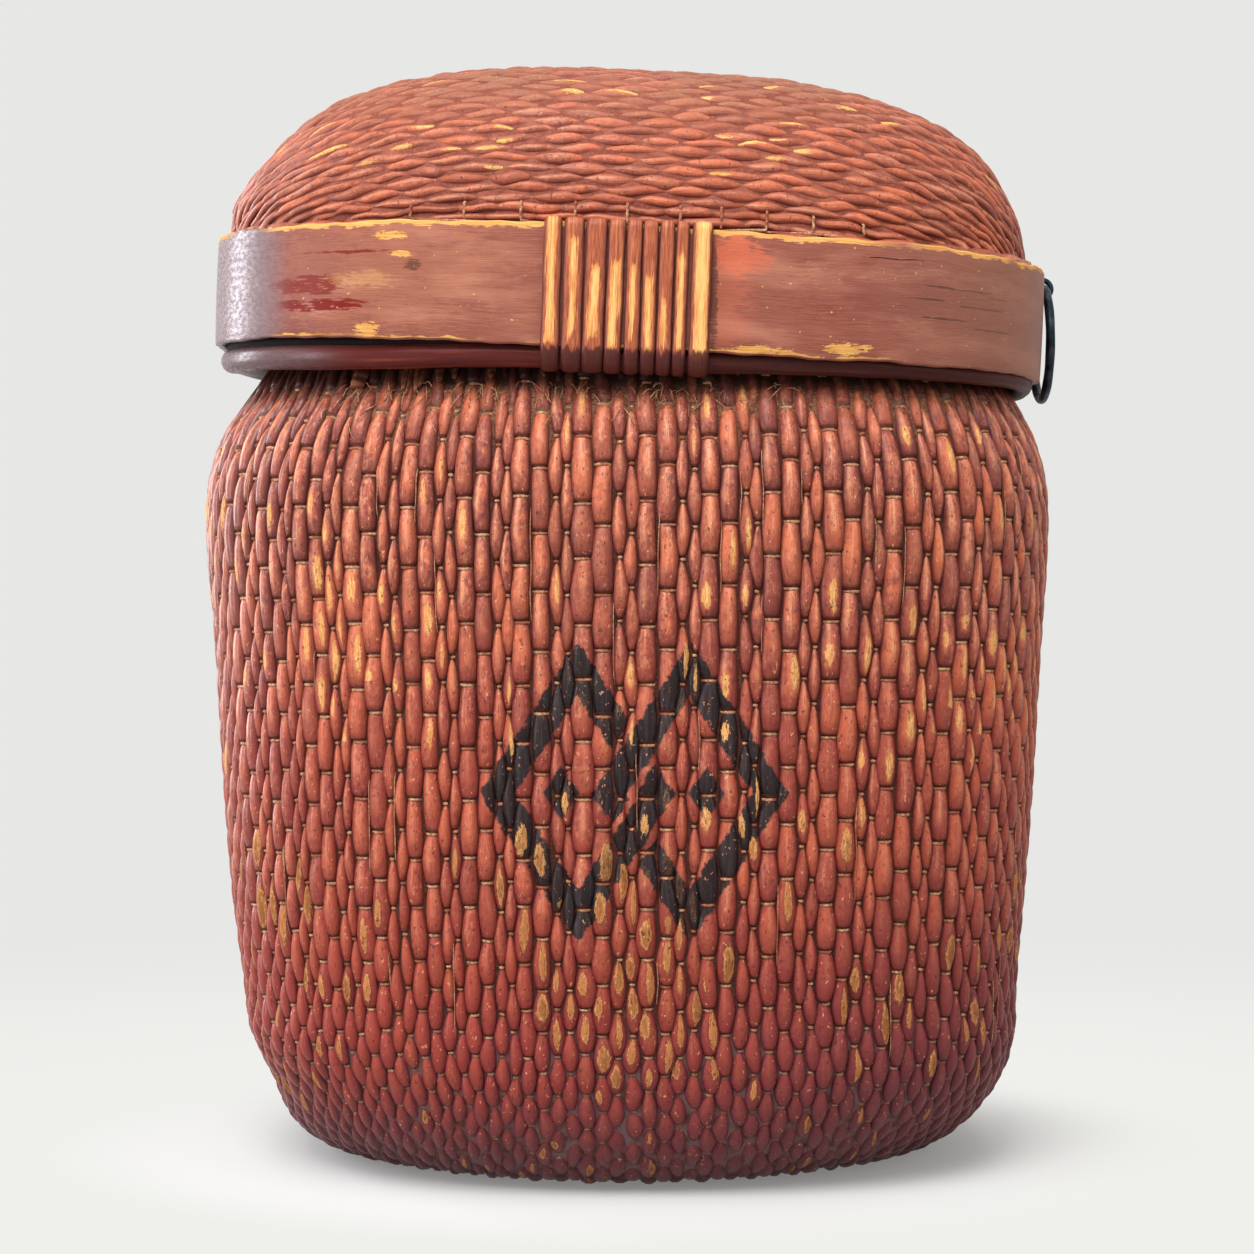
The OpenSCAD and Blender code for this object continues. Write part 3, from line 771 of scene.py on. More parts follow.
def willowFinish(name, look, spots, base, painted):
    material, t = startMaterial(name)
    p = readRod(t)
    paint, top = layLacquer(t, p, look, base)
    shadeRod(t, p, base, paint, top)
    worn, halo, ringed, wood = wornPatches(t, p, look, spots, base)
    paint.over(halo * 0.45, t.mix(ringed, look["orange"], look["outline"]))
    if painted:
        paintSign(t, p, paint)
    paint.over(worn, wood)
    # dark specks, small painted glints on the crowns and the light rim of each bead
    speck = t.smooth(t.noise(t.vector(p.x, p.y, p.z * 0.6), 760.0, 2.0), 0.645, 0.70)
    paint.over(speck * 0.75, "gap")
    paintedGlint = t.smooth(t.noise(t.vector(p.x, p.y + 5.0, p.z * 0.7), 620.0, 2.0, 0.6), 0.665, 0.71)
    paint.over(paintedGlint * 0.75 * top, "light")
    rim = t.hump(p.along, 0.035, 0.022) * t.smooth(p.ragged + p.red * 0.2, 0.42, 0.62) * top
    paint.over(rim * base["rim"], "rim")
    gap = fillSeams(t, p, look, base, paint)
    # the side of the rod that looks inwards is bare willow
    inside = t.smooth(p.crown, -0.25, -0.5)
    paint.over(inside, t.mix(t.smooth(p.grain, 0.3, 0.7), look["bare"], look["bareDark"]))
    rough = 0.34 + p.mottle * 0.18 + p.grain * 0.08 + worn * 0.25 + gap * 0.25 + inside * 0.2
    height = p.grain * 0.6 + p.streak * 0.5 + p.ragged * 0.4 + p.mottle * 0.4 - worn * 0.35 - speck * 0.3
    gloss = t.smooth(p.x, *toneFrom["glossLeft"]) * 0.4 + 0.16
    coat = (1.0 - worn) * (1.0 - inside) * (1.0 - gap) * gloss
    endMaterial(t, paint.colour, rough, height, (0.6, 0.0012), coat=coat, fixed={"Coat Roughness": 0.22})
    return material


# Hemp under old lacquer, browner near the height above which a painted shadow under the rim darkens it, and
# with lilac dust at the foot
hempLook = colours(brown=(134, 92, 68), soot=(36, 20, 20), lilac=(124, 98, 98))


def hempFinish(name, pale, dark, lacquer, level, sootyAbove=9.0):
    material, t = startMaterial(name)
    place = t.node("ShaderNodeTexCoord", None, None, "Object")
    z = t.parts(place)[2]
    strand = t.noise(place, 900.0, 3.0, 0.6)
    patch = t.noise(place, 110.0, 3.0)
    paint = Paint(t, hempLook, t.smooth(strand, 0.35, 0.7), dark, pale)
    paint.over(t.smooth(patch, level - 0.12, level + 0.12) * 0.85, lacquer)
    browned = t.smooth(z, sootyAbove - 0.02, sootyAbove + 0.015) * t.smooth(strand, 0.3, 0.6)
    paint.over(browned, "brown")
    # painted shadow under the rim
    paint.over(t.smooth(z, sootyAbove + 0.014, sootyAbove + 0.022) * 0.85, "soot")
    dusted = t.smooth(z, 0.10, 0.05) * t.smooth(patch, 0.30, 0.60)
    paint.over(dusted * 0.75, "lilac")
    endMaterial(t, paint.colour, 0.8, strand, (0.6, 0.0005))
    return material


# Flat bentwood: fine grain along the piece, carried by the attributes run (length) and up (0 to 1)
def bentwoodFinish(name, look):
    material, t = startMaterial(name)
    x, y, _ = t.parts(t.node("ShaderNodeTexCoord", None, None, "Object"))
    run, up, face = t.attribute("run"), t.attribute("up"), t.attribute("face")
    fine = t.noise(t.vector(run * 9.0, up * 26.0, face * 3.0), 6.0, 5.0, 0.65)
    broad = t.noise(t.vector(run * 2.2, up * 3.0, face), 5.0, 3.0)
    cloud = t.noise(t.vector(run * 6.0, up * 1.2, face), 3.0, 3.0)
    scratch = t.noise(t.vector(run * 5.0, up * 60.0, face * 5.0), 7.0, 2.0)
    pitted = t.noise(t.vector(run * 90.0, up * 12.0, face), 4.0, 4.0, 0.7)
    paint = Paint(t, look, t.smooth(fine, 0.25, 0.8), "dark", "mid")
    paint.over(t.smooth(pitted, 0.5, 0.7) * 0.35, "dark")
    paint.over(t.smooth(cloud, 0.45, 0.7) * 0.6, "light")
    paint.over(t.smooth(broad, 0.6, 0.8) * 0.5, "dark")
    paint.over(t.smooth(scratch, 0.60, 0.70) * 0.6, "line")
    # ragged patches of other colours across the front
    front = t.smooth(y, 0.0, -0.03)
    streaks = t.noise(t.vector(run * 140.0, up * 46.0, 2.0), 1.0, 4.0, 0.64) - 0.5
    lumps = t.noise(t.vector(run * 90.0, up * 7.0, 5.0), 1.0, 3.0, 0.6) - 0.5
    nicks = t.noise(t.vector(run * 420.0, up * 90.0, 8.0), 1.0, 3.0, 0.6) - 0.5
    ragged = streaks * 8.0 + lumps * 5.0
    for cx, cu, reach, rise, amount, key in look["patches"]:
        spot = ((x - cx) / reach) ** 2 + ((up - cu) / rise) ** 2 + ragged * look["fray"]
        paint.over(t.smooth(spot, 1.35, 0.55) * front * amount, key)
    paint.over(t.smooth(x, *look["browner"]) * 0.6, "brown")
    # wear along both edges, broken where the lacquer held
    edge = (t.noise(t.vector(run * 60.0, up * 2.0, 0.0), 2.0, 4.0) - 0.5) * look["uneven"]
    edge = edge + streaks * look["uneven"] * 1.1
    broken = t.smooth(t.noise(t.vector(run * 22.0, 3.0, 0.0), 1.0, 2.0), 0.40, 0.52)
    kept = t.either(broken, t.smooth(x, 0.13, 0.10) * t.smooth(x, -0.175, -0.16))
    highEdge = t.smooth(up + edge, 1.0 - look["topWear"], 1.012 - look["topWear"]) * kept
    lowEdge = t.smooth(1.0 - up + edge, 1.0 - look["lowWear"], 1.012 - look["lowWear"])
    lowEdge = lowEdge * t.either(broken, t.smooth(x, 0.010, 0.030))
    lowEdge = lowEdge * t.smooth(x, look["lowFrom"] - 0.01, look["lowFrom"])
    lowEdge = lowEdge * t.smooth(x, look["lowTo"] + 0.01, look["lowTo"])
    worn = t.either(highEdge, lowEdge) * t.smooth(face, 0.2, 0.9)
    for cx, cu, reach, rise in look["worn"]:
        spot = ((x - cx) / reach) ** 2 + ((up - cu) / rise) ** 2 + ragged * 0.7 + nicks * 5.0
        worn = t.either(worn, t.smooth(spot, 1.3, 1.0) * front)
    chip = t.smooth(t.noise(t.vector(run * 380.0, up * 22.0, 4.0), 1.0, 2.0), 0.715, 0.74) * look["chips"]
    worn = t.either(worn, chip)
    wood = t.mix(t.smooth(fine, 0.4, 0.6), look["ochre"], look["pale"])
    paint.over(worn * look["wornAmount"], wood)
    rough = look["rough"] + fine * 0.18 + worn * 0.25
    height = fine * 0.7 - worn * 0.6 + scratch * 0.4 + pitted * 0.8
    # thick glossy varnish at the left end, wrinkled, with a pale lilac-grey tone painted under it as a
    # reflection
    glossy = t.smooth(x, *look["gloss"]) * t.smooth(y, 0.09, -0.03)
    paint.over(glossy * 0.75 * (1.0 - worn), "varnish")
    wrinkles = t.noise(t.vector(run * 300.0, up * 24.0, face + 6.0), 1.0, 4.0, 0.7)
    wrinkled = t.smooth(wrinkles, 0.40, 0.60) * 0.75 + 0.25
    coat = (1.0 - worn) * (look["coat"] * (0.5 + pitted) * (1.0 - glossy) + glossy * wrinkled)
    endMaterial(t, paint.colour, rough, height, (0.5, 0.0008), coat=coat,
                fixed={"Coat Roughness": 0.28, "Specular IOR Level": look["shine"]})
    return material


ironLook = colours(dark=(24, 32, 40), light=(52, 64, 76), rust=(86, 56, 42))


def ironFinish():
    material, t = startMaterial("forgedIron")
    place = t.node("ShaderNodeTexCoord", None, None, "Object")
    hammer = t.noise(place, 160.0, 3.0)
    rust = t.smooth(t.noise(place, 420.0, 4.0), 0.56, 0.72)
    paint = Paint(t, ironLook, t.smooth(hammer, 0.35, 0.7), "dark", "light")
    paint.over(rust * 0.5, "rust")
    endMaterial(t, paint.colour, 0.42 + rust * 0.3, hammer, (0.5, 0.0010), metallic=0.75 - rust * 0.6)
    return material


# Where the body is worn most: place across and up the front, half sizes and how often
bodySpots = [
    (-0.120, 0.262, 0.034, 0.040, 0.75), (0.000, 0.100, 0.044, 0.044, 1.0), (0.160, 0.244, 0.026, 0.024, 0.9),
    (-0.060, 0.200, 0.060, 0.050, 0.2), (0.080, 0.300, 0.060, 0.030, 0.35)]
# fall, shade, necks, joint, outline and underRim set how strong the painted shade is; crest sets where the
# painted highlight runs
bodyWillow = willowFinish("lacqueredWillowBody", lacquerLook, bodySpots, {
    "low": 0.14, "lowAmount": 0.95, "slope": -0.12, "wear": 0.15, "ragged": 3.6, "ringed": 0.15, "rim": 0.4,
    "joint": 0.9, "dustLow": 0.06, "dust": 0.8, "crest": -0.15, "fall": 0.55, "shadeSide": 1.0, "shade": 0.45,
    "redder": 0.40, "outline": 1.0, "round": 0.40, "underRim": 0.85, "powder": 0.8, "grime": 0.0,
    "necks": 0.0}, True)
lidLook = {**lacquerLook, **colours(
    gap=(104, 50, 42), hemp=(110, 56, 46), dusk=(134, 68, 52), mid=(174, 98, 76), deep=(132, 68, 56),
    light=(210, 144, 112), orange=(206, 106, 70), ochre=(216, 162, 92), pale=(244, 210, 138))}
lidWillow = willowFinish("lacqueredWillowLid", lidLook, [], {
    "low": 0.01, "lowAmount": 0.0, "slope": 0.0, "wear": 0.025, "ragged": 4.4, "ringed": -1.0, "rim": 0.0,
    "joint": 0.0, "dustLow": 0.01, "dust": 0.3, "crest": 0.30, "fall": 0.0, "shadeSide": -1.0, "shade": 0.70,
    "redder": 0.0, "outline": 0.0, "round": 0.25, "underRim": 0.0, "powder": 0.0, "grime": 0.85,
    "necks": 0.55}, False)
cordFinish = hempFinish("hempCord", srgb(218, 172, 132), srgb(150, 98, 72), srgb(136, 66, 48), 0.52)
webFinish = hempFinish("hempWebbing", srgb(104, 60, 48), srgb(56, 28, 24), srgb(74, 36, 30), 0.50, 0.358)
fuzzFinish = hempFinish("looseHemp", srgb(202, 160, 122), srgb(132, 90, 66), srgb(146, 80, 60), 0.55)
lidSkinFinish = hempFinish("lacquerFill", srgb(145, 81, 64), srgb(114, 60, 50), srgb(155, 92, 73), 0.55)
# near-black finish that stands in for the shade in the gap over the lid's rim rod
gapShadowFinish = hempFinish("sootyPacking", srgb(34, 20, 18), srgb(14, 8, 8), srgb(24, 14, 12), 0.55)
bareLook = {
    "patches": [], "worn": [], "fray": 0.3, "gloss": (-5.0, -6.0), "shine": 0.16, "lowFrom": -5.0,
    "lowTo": 5.0, "browner": (5.0, 6.0), "chips": 0.0, "topWear": 0.02, "lowWear": 0.02, "uneven": 0.02,
    "wornAmount": 0.5, **colours(varnish=(96, 72, 76), brown=(120, 80, 50))}
plainWood = bentwoodFinish("plainBentwood", {**bareLook, "rough": 0.55, "coat": 0.0, **colours(
    dark=(140, 98, 62), mid=(186, 142, 98), light=(206, 164, 116), line=(110, 72, 44), ochre=(200, 156, 100),
    pale=(220, 184, 130))})
# Marks of the band: middle across the front and share of its height, half sizes, and how strong
bandPatches = [
    (-0.156, 0.60, 0.026, 0.60, 0.5, "dusky"), (0.042, 0.45, 0.012, 0.70, 0.22, "orange"),
    (0.0500, 0.80, 0.012, 0.16, 0.62, "orange"), (0.125, 0.55, 0.05, 0.25, 0.3, "dusky"),
    (-0.110, 0.60, 0.055, 0.50, 0.22, "tan"), (-0.0967, 0.62, 0.0035, 0.05, 0.8, "stain"),
    (-0.147, 0.46, 0.016, 0.08, 0.85, "crimson"), (-0.141, 0.28, 0.021, 0.05, 1.0, "crimson"),
    # the dark strip beside the binding is partly dust and partly a painted shadow of the binding
    (0.0378, 0.45, 0.0020, 0.60, 0.8, "dusty"), (-0.120, 0.50, 0.013, 0.07, 0.22, "pale"),
    (-0.128, 0.74, 0.017, 0.014, 0.85, "crimson")]
bandCracks = [
    (0.152, 0.66, 0.015, 0.009), (0.163, 0.52, 0.012, 0.008), (0.146, 0.40, 0.013, 0.008),
    (0.168, 0.34, 0.010, 0.009), (0.122, 0.86, 0.013, 0.006), (0.138, 0.55, 0.010, 0.007),
    (0.172, 0.62, 0.007, 0.007)]
bandWood = bentwoodFinish("lacqueredBentwood", {
    "patches": bandPatches + [(*crack, 1.0, "crack") for crack in bandCracks],
    "worn": [(-0.1075, 0.87, 0.0066, 0.030), (-0.1015, 0.71, 0.0045, 0.020), (-0.1180, 0.075, 0.0052, 0.055),
             (0.0965, 0.095, 0.0066, 0.045), (0.1065, 0.105, 0.0030, 0.030), (0.0580, 0.045, 0.0120, 0.030)],
    "browner": (0.10, 0.18), "gloss": (-0.152, -0.172), "shine": 0.10, "lowFrom": -0.160, "lowTo": 0.112,
    "topWear": 0.046, "lowWear": 0.034, "uneven": 0.08, "fray": 0.7, "chips": 0.9, "wornAmount": 0.95,
    "rough": 0.40, "coat": 0.10, **colours(
        dark=(124, 68, 57), mid=(168, 101, 82), light=(194, 130, 106), line=(92, 46, 38),
        ochre=(206, 140, 72), pale=(234, 182, 106), orange=(214, 108, 76), tan=(186, 124, 92),
        stain=(90, 56, 40), crimson=(118, 22, 14), dusty=(88, 50, 42), brown=(150, 102, 84),
        dusky=(112, 54, 50), varnish=(112, 100, 105), crack=(46, 26, 22))})
rimWood = bentwoodFinish("lacqueredRod", {
    **bareLook, "shine": 0.10, "browner": (-0.03, 0.06), "topWear": -1.0, "lowWear": -1.0, "chips": 0.35,
    "wornAmount": 0.8, "gloss": (-0.120, -0.168), "rough": 0.5, "coat": 0.12, **colours(
        dark=(66, 20, 20), mid=(112, 42, 34), light=(142, 66, 50), line=(40, 18, 18), ochre=(170, 120, 70),
        pale=(190, 140, 90), brown=(44, 26, 24))})
splinterWood = bentwoodFinish("splinteredWillow", {
    **bareLook, "rough": 0.6, "coat": 0.0, "topWear": -1.0, "lowWear": 0.35, "uneven": 0.5, "wornAmount": 0.8,
    **colours(dark=(84, 42, 32), mid=(132, 74, 52), light=(186, 124, 88), line=(50, 24, 20),
              ochre=(180, 120, 84), pale=(222, 170, 128))})
caneFinish = bentwoodFinish("splitCane", {**bareLook, "rough": 0.5, "coat": 0.1, **colours(
    dark=(160, 112, 62), mid=(204, 160, 98), light=(222, 184, 122), line=(120, 80, 44), ochre=(214, 170, 104),
    pale=(232, 196, 140))})
strandLook = colours(dark=(134, 62, 46), mid=(188, 106, 72), light=(210, 132, 84), side=(84, 36, 30),
                     ochre=(206, 130, 72), pale=(242, 188, 116), streak=(150, 84, 48), foot=(72, 28, 28))


# Willow splits of the binding, worn through to the wood where their own table says so
def strandFinish():
    look = strandLook
    material, t = startMaterial("wornWillowSplits")
    sideways, down, rod = t.attribute("face"), t.attribute("run"), t.attribute("rodId")
    bare, share = t.attribute("bare"), t.attribute("share")
    fine = t.noise(t.vector(sideways * 4.0, down * 60.0, rod * 5.0), 2.0, 4.0, 0.6)
    broad = t.noise(t.vector(sideways * 1.6, down * 26.0, rod * 7.0), 1.6, 4.0, 0.6)
    paint = Paint(t, look, t.smooth(fine, 0.35, 0.7), "dark", "mid")
    paint.over(t.smooth(broad, 0.5, 0.7) * 0.6, "light")
    paint.over(t.smooth(abs(sideways), 0.60, 0.95) * 0.85, "side")
    worn = t.smooth(bare + (broad - 0.5) * 1.5 + (fine - 0.5) * 0.8, 0.38, 0.54)
    pale = t.smooth(bare * 0.5 + broad * 0.8 + (fine - 0.5) * 0.9, 0.62, 1.0)
    paint.over(worn, t.mix(pale, look["ochre"], look["pale"]))
    streaky = t.smooth(t.noise(t.vector(sideways * 7.0, down * 18.0, rod * 3.0), 1.5, 3.0), 0.56, 0.66)
    paint.over(streaky * 0.45, "streak")
    foot = t.smooth(share + (broad - 0.5) * 0.14 + (fine - 0.5) * 0.10, 0.85, 0.875)
    paint.over(foot * 0.92, "foot")
    endMaterial(t, paint.colour, 0.38 + fine * 0.2 + worn * 0.1, fine + broad * 0.5, (0.35, 0.0006),
                coat=(1.0 - worn) * 0.12, fixed={"Coat Roughness": 0.22})
    return material


splitFinish = strandFinish()
iron = ironFinish()
weaving = willowTree()
cording = cordTree()
print("finishes made")

# Columns of the body: groups of two wide and two narrow rods, some placed as on the real front
weaveLook = {
    "seed": 11, "groups": 44,
    "frontGroups": (-0.176, -0.1521, -0.1262, -0.0989, -0.0733, -0.0481, -0.0207, 0.0086, 0.0366, 0.0647,
                    0.0920, 0.1209, 0.1504, 0.1790),
    "cells": (0.0, 0.3225, 0.5725, 0.750), "cellWidths": (0.325, 0.315, 0.185, 0.175),
    "courseSlope": 0.022, "firstCourse": -0.35, "sides": 10,
    "rings": (0.0, 0.035, 0.12, 0.28, 0.5, 0.72, 0.88, 0.965),
    "cordSize": 0.00082, "evenFrom": 0.155, "evenTo": 0.035, "evenDepth": 0.0034, "jointShift": 0.16,
    "sideShift": 0.0007, "plump": 0.07,
    "wide": {"depth": 0.0039, "sink": 0.0, "rise": 0.0012,
             "waist": ((0.0, 0.40), (0.05, 0.46), (0.12, 0.56), (0.19, 0.68), (0.30, 0.76), (0.37, 0.74),
                       (0.40, 0.66)),
             "fill": ((0.0, 1.42), (0.05, 1.30), (0.10, 1.16), (0.30, 1.10)),
             "barrel": ((0.0, 0.85), (0.05, 0.80), (0.12, 0.62), (0.30, 0.45))},
    "narrow": {"depth": 0.0034, "sink": 0.0005, "rise": 0.0016,
               "waist": ((0.0, 0.40), (0.06, 0.42), (0.15, 0.36), (0.30, 0.32), (0.42, 0.5)),
               "fill": ((0.0, 1.42), (0.05, 1.34), (0.10, 1.30), (0.30, 1.42)),
               "barrel": ((0.0, 0.8), (0.10, 0.80), (0.30, 0.75))},
    # pitch of the courses by height
    "pitches": ((0.0, 0.0072), (0.010, 0.0072), (0.033, 0.0078), (0.067, 0.0098), (0.123, 0.0123),
                (0.190, 0.0128), (0.290, 0.0141), (0.360, 0.0141), (0.385, 0.0120), (0.434, 0.0120)),
    # each bead's ends: share of its length, how much it is raised and how wide it is there
    "lipAt": (0.0, 0.035, 0.12, 0.5, 0.88, 0.965, 1.0), "lipRise": (1.5, 1.45, 1.3, 1.0, 0.5, 0.35, 1.5),
    "lipWidth": (0.86, 0.88, 0.95, 1.0, 1.10, 1.12, 0.86),
}
chance = random.Random(weaveLook["seed"])


def bodyCourses():
    run = np.linspace(0.0, profileRun[-1], 3000)
    height = np.interp(run, profileRun, profileHeight)
    steep = np.clip(-np.interp(run, profileRun, profileSlope[:, 1]), 0.62, 1.0)
    pitch = fromTable(height, weaveLook["pitches"]) / steep
    course = np.concatenate([[0.0], np.cumsum(np.diff(run) / (0.5 * (pitch[1:] + pitch[:-1])))])
    return course + weaveLook["firstCourse"], run


courseIndex, courseRun = bodyCourses()
lastCourse = int(courseIndex[-1])


def columnPlaces():
    whole = 4.0 * bellyQuarter
    front = list(weaveLook["frontGroups"])
    rest = weaveLook["groups"] - len(front)
    gap = (front[0] + whole - front[-1]) / (rest + 1)
    starts = front + [front[-1] + gap * (k + 1) for k in range(rest)] + [front[0] + whole]
    columns = []
    for g in range(weaveLook["groups"]):
        period = starts[g + 1] - starts[g]
        for j in range(4):
            jitter = chance.uniform(-0.0003, 0.0003)
            columns.append({
                "belly": starts[g] + weaveLook["cells"][j] * period + jitter,
                "even": starts[g] + (0.41125 + (j - 1.5) / 4.0) * period,
                "width": weaveLook["cellWidths"][j] * period * chance.uniform(0.96, 1.04),
                "evenWidth": period / 4.0, "kind": weaveLook["wide" if j < 2 else "narrow"]})
    return columns


columns = columnPlaces()


def shifts(reach):
    return np.array([[chance.uniform(-reach, reach) for _ in range(lastCourse + 4)] for _ in columns])


jointShift = shifts(weaveLook["jointShift"])
sideShift = shifts(weaveLook["sideShift"])


# Near the floor the columns become evenly wide
def evenness(height):
    return smoothStep(height, weaveLook["evenFrom"], weaveLook["evenTo"])


def columnAt(column, level):
    height = np.interp(level, profileRun, profileHeight)
    even = evenness(height)
    place = column["belly"] * (1 - even) + column["even"] * even
    width = column["width"] * (1 - even) + column["evenWidth"] * even
    return place, width, height


# Level of a course at a column: the courses climb a little from left to right
def courseLevel(course, column):
    start, _, _ = bodyAt(np.array([column["belly"]]), np.array([0.15]))
    level = np.interp(course, courseIndex, courseRun)
    height = np.interp(level, profileRun, profileHeight)
    return level - weaveLook["courseSlope"] * start[0, 0] * smoothStep(height, 0.03, 0.12)


def bodyRod(number, column):
    look, kind, shifted = weaveLook, column["kind"], jointShift[number]
    parity = number % 2
    phases, courses, plump = [], [], []
    for first in range(parity - 2, lastCourse + 1, 2):
        more = chance.uniform(-look["plump"], look["plump"])
        span = 2.0 + shifted[first + 2 if first + 2 < lastCourse + 3 else -1] - shifted[first]
        for u in look["rings"]:
            phases.append((first - parity) // 2 + 3 + u)
            courses.append(first + shifted[first] + u * span)
            plump.append(1.0 + more * math.sin(math.pi * u))
    phases, courses, plump = np.array(phases), np.array(courses), np.array(plump)
    level = courseLevel(courses, column)
    keep = (courses > courseIndex[0]) & (courses < courseIndex[-1] - 0.05) & (level > 0.0)
    phases, courses, level, plump = phases[keep], courses[keep], level[keep], plump[keep]
    place, width, height = columnAt(column, level)
    shift = np.interp(courses, np.arange(lastCourse + 4), sideShift[number])
    shift = shift * (1.0 + smoothStep(height, 0.10, 0.03))
    point, outward, scale = bodyAt(place + shift, level)
    share, even = np.mod(phases, 1.0), evenness(height)
    waist = fromTable(height, kind["waist"]) * np.interp(share, look["lipAt"], look["lipWidth"])
    depth = kind["depth"] * (1 - even) + look["evenDepth"] * even
    size = chance.uniform(0.97, 1.03)
    centre = point - outward * (depth + kind["sink"])[:, None]
    across = acrossLine(centre, outward)
    thinned = 1.0 - 0.14 * smoothStep(height, 0.366, 0.382)
    halfWidth = 0.5 * width * scale * fromTable(height, kind["fill"]) * size * plump * thinned
    return {"centre": centre, "outward": outward, "across": across, "phase": phases, "halfWidth": halfWidth,
            "halfDepth": depth, "waist": np.clip(waist, 0.0, 0.95),
            "barrel": fromTable(height, kind["barrel"]),
            "rise": kind["rise"] * np.interp(share, look["lipAt"], look["lipRise"]),
            "rodId": np.full(len(level), float(number))}


rods = [bodyRod(i, c) for i, c in enumerate(columns)]
panel = len(rods) // 4
for k in range(4):
    some = rods[k * panel:(k + 1) * panel]
    grow(f"bodyWillow{k + 1}", some, weaving, {"Sides": weaveLook["sides"], "Skew": 1.2},
         bodyWillow, "basket", ["body_weave"])
print("body rods woven")


# One hemp cord for each course, outside the rods that have a joint there and behind the others
bodyCordLook = {"over": ((-0.42, 0.0016), (-0.2, 0.0002), (0.2, 0.0002), (0.42, 0.0016)), "lower": 0.0007,
                "behind": 0.0006, "bite": 0.28}


def bodyCord(course):
    look, places, levels, sinks = bodyCordLook, [], [], []
    for i in sorted(range(len(columns)), key=lambda i: columns[i]["belly"]):
        column, kind = columns[i], columns[i]["kind"]
        over = (i + course) % 2 == 0
        level = courseLevel(np.array([course + (jointShift[i][course] if over else 0.0)]), column)
        level = np.clip(level, 0.0004, profileRun[-1] - 0.0004)
        place, width, height = columnAt(column, level)
        depth = kind["depth"] + kind["sink"]
        if over:
            crest = depth * look["bite"] + kind["rise"] * weaveLook["lipRise"][0] - weaveLook["cordSize"]
            crest += look["behind"] * smoothStep(height[0], 0.09, 0.04)
            reach = width[0] * fromTable(height[0], kind["waist"]) * 1.1
            for side, drop in look["over"]:
                places.append(place[0] + side * reach)
                levels.append(level[0] + look["lower"])
                sinks.append(crest + drop)
        else:
            places.append(place[0])
            levels.append(level[0])
            sinks.append(depth * 2.0 + look["behind"])
    point, outward, _ = bodyAt(np.array(places), np.array(levels))
    return cordPath(point - outward * np.array(sinks)[:, None], outward, weaveLook["cordSize"], True)


cords = [bodyCord(k) for k in range(1, lastCourse + 1)]
half = len(cords) // 2
for k, some in enumerate((cords[:half], cords[half:])):
    grow(f"bodyCord{k + 1}", some, cording, {"Sides": 5}, cordFinish,
         "basket", ["body_cords"], True)
print("body cords laid")


# Thin webbing behind the crowns, so that no hole shows between the rods
webLook = {"rows": 110, "depth": 0.0036, "thick": 0.0005}


def bodyWebbing():
    around = 2 * len(columns)
    place = 4.0 * bellyQuarter * np.arange(around) / around
    rows = []
    for level in np.linspace(0.004, profileRun[-1] - 0.002, webLook["rows"]):
        point, outward, _ = bodyAt(place, np.full(around, level))
        height = np.interp(level, profileRun, profileHeight)
        nearer = 0.0012 * smoothStep(height, 0.355, 0.375) + 0.0010 * smoothStep(height, 0.06, 0.02)
        rows.append(point - outward * (webLook["depth"] - nearer))
    return smoothMesh("bodyWebbing", np.concatenate(rows), sheetFaces(len(rows), around))


def thicken(mesh, thickness):
    carrier = addObject("sheet", mesh)
    modifier = carrier.modifiers.new("thick", "SOLIDIFY")
    modifier.thickness = thickness
    modifier.offset = 0.0
    return applied(carrier)


addPiece("bodyWebbing", thicken(bodyWebbing(), webLook["thick"]), "basket", (), webFinish)


# Loose fibres: long ones beside the rods, short frayed ones under the rim
fibreLook = {
    "long": 80, "short": 110, "size": 0.00026, "seed": 23, "neck": 0.381, "frayFrom": -0.150, "frayTo": 0.075,
    "sunk": ((0.0, 0.0040), (0.12, 0.0016), (0.5, 0.0013), (0.88, 0.0016), (1.0, 0.0040)), "sway": 0.0005}
fibreChance = random.Random(fibreLook["seed"])


def levelAt(height):
    return np.interp(-height, -profileHeight[:-8], profileRun[:-8])


def fibrePath(around, level, sink, size):
    point, outward, _ = bodyAt(around, level)
    return cordPath(point - outward * sink[:, None], outward, size)


def longFibre():
    column = fibreChance.choice(columns)
    side = fibreChance.choice((-0.5, 0.5))
    start = levelAt(fibreChance.uniform(0.10, 0.36))
    length = fibreChance.uniform(0.018, 0.055)
    share = np.linspace(0.0, 1.0, 12)
    level = start + share * length
    place, width, _ = columnAt(column, level)
    sway = [fibreChance.uniform(-fibreLook["sway"], fibreLook["sway"]) for _ in range(5)]
    place = place + side * width + np.interp(share, np.linspace(0.0, 1.0, 5), sway)
    return fibrePath(place, level, fromTable(share, fibreLook["sunk"]), fibreLook["size"])


def shortFibre():
    start = fibreChance.uniform(fibreLook["frayFrom"], fibreLook["frayTo"])
    level = levelAt(fibreLook["neck"] - abs(fibreChance.gauss(0.0, 0.006)))
    share = np.linspace(0.0, 1.0, 7)
    length, lean = fibreChance.uniform(0.003, 0.011), fibreChance.uniform(-0.006, 0.006)
    curl = fibreChance.uniform(-0.003, 0.003)
    lift = fibreChance.uniform(-0.0008, 0.0022)
    return fibrePath(start + lean * share + curl * share * share, level + length * share,
                     0.0022 - (lift + 0.0022) * np.sin(math.pi * np.clip(share * 0.75, 0.0, 1.0)),
                     fibreLook["size"] * fibreChance.uniform(0.6, 1.1))


fibres = [longFibre() for _ in range(fibreLook["long"])] + [shortFibre() for _ in range(fibreLook["short"])]
grow("looseFibres", fibres, cording, {"Sides": 5}, fuzzFinish, "basket")

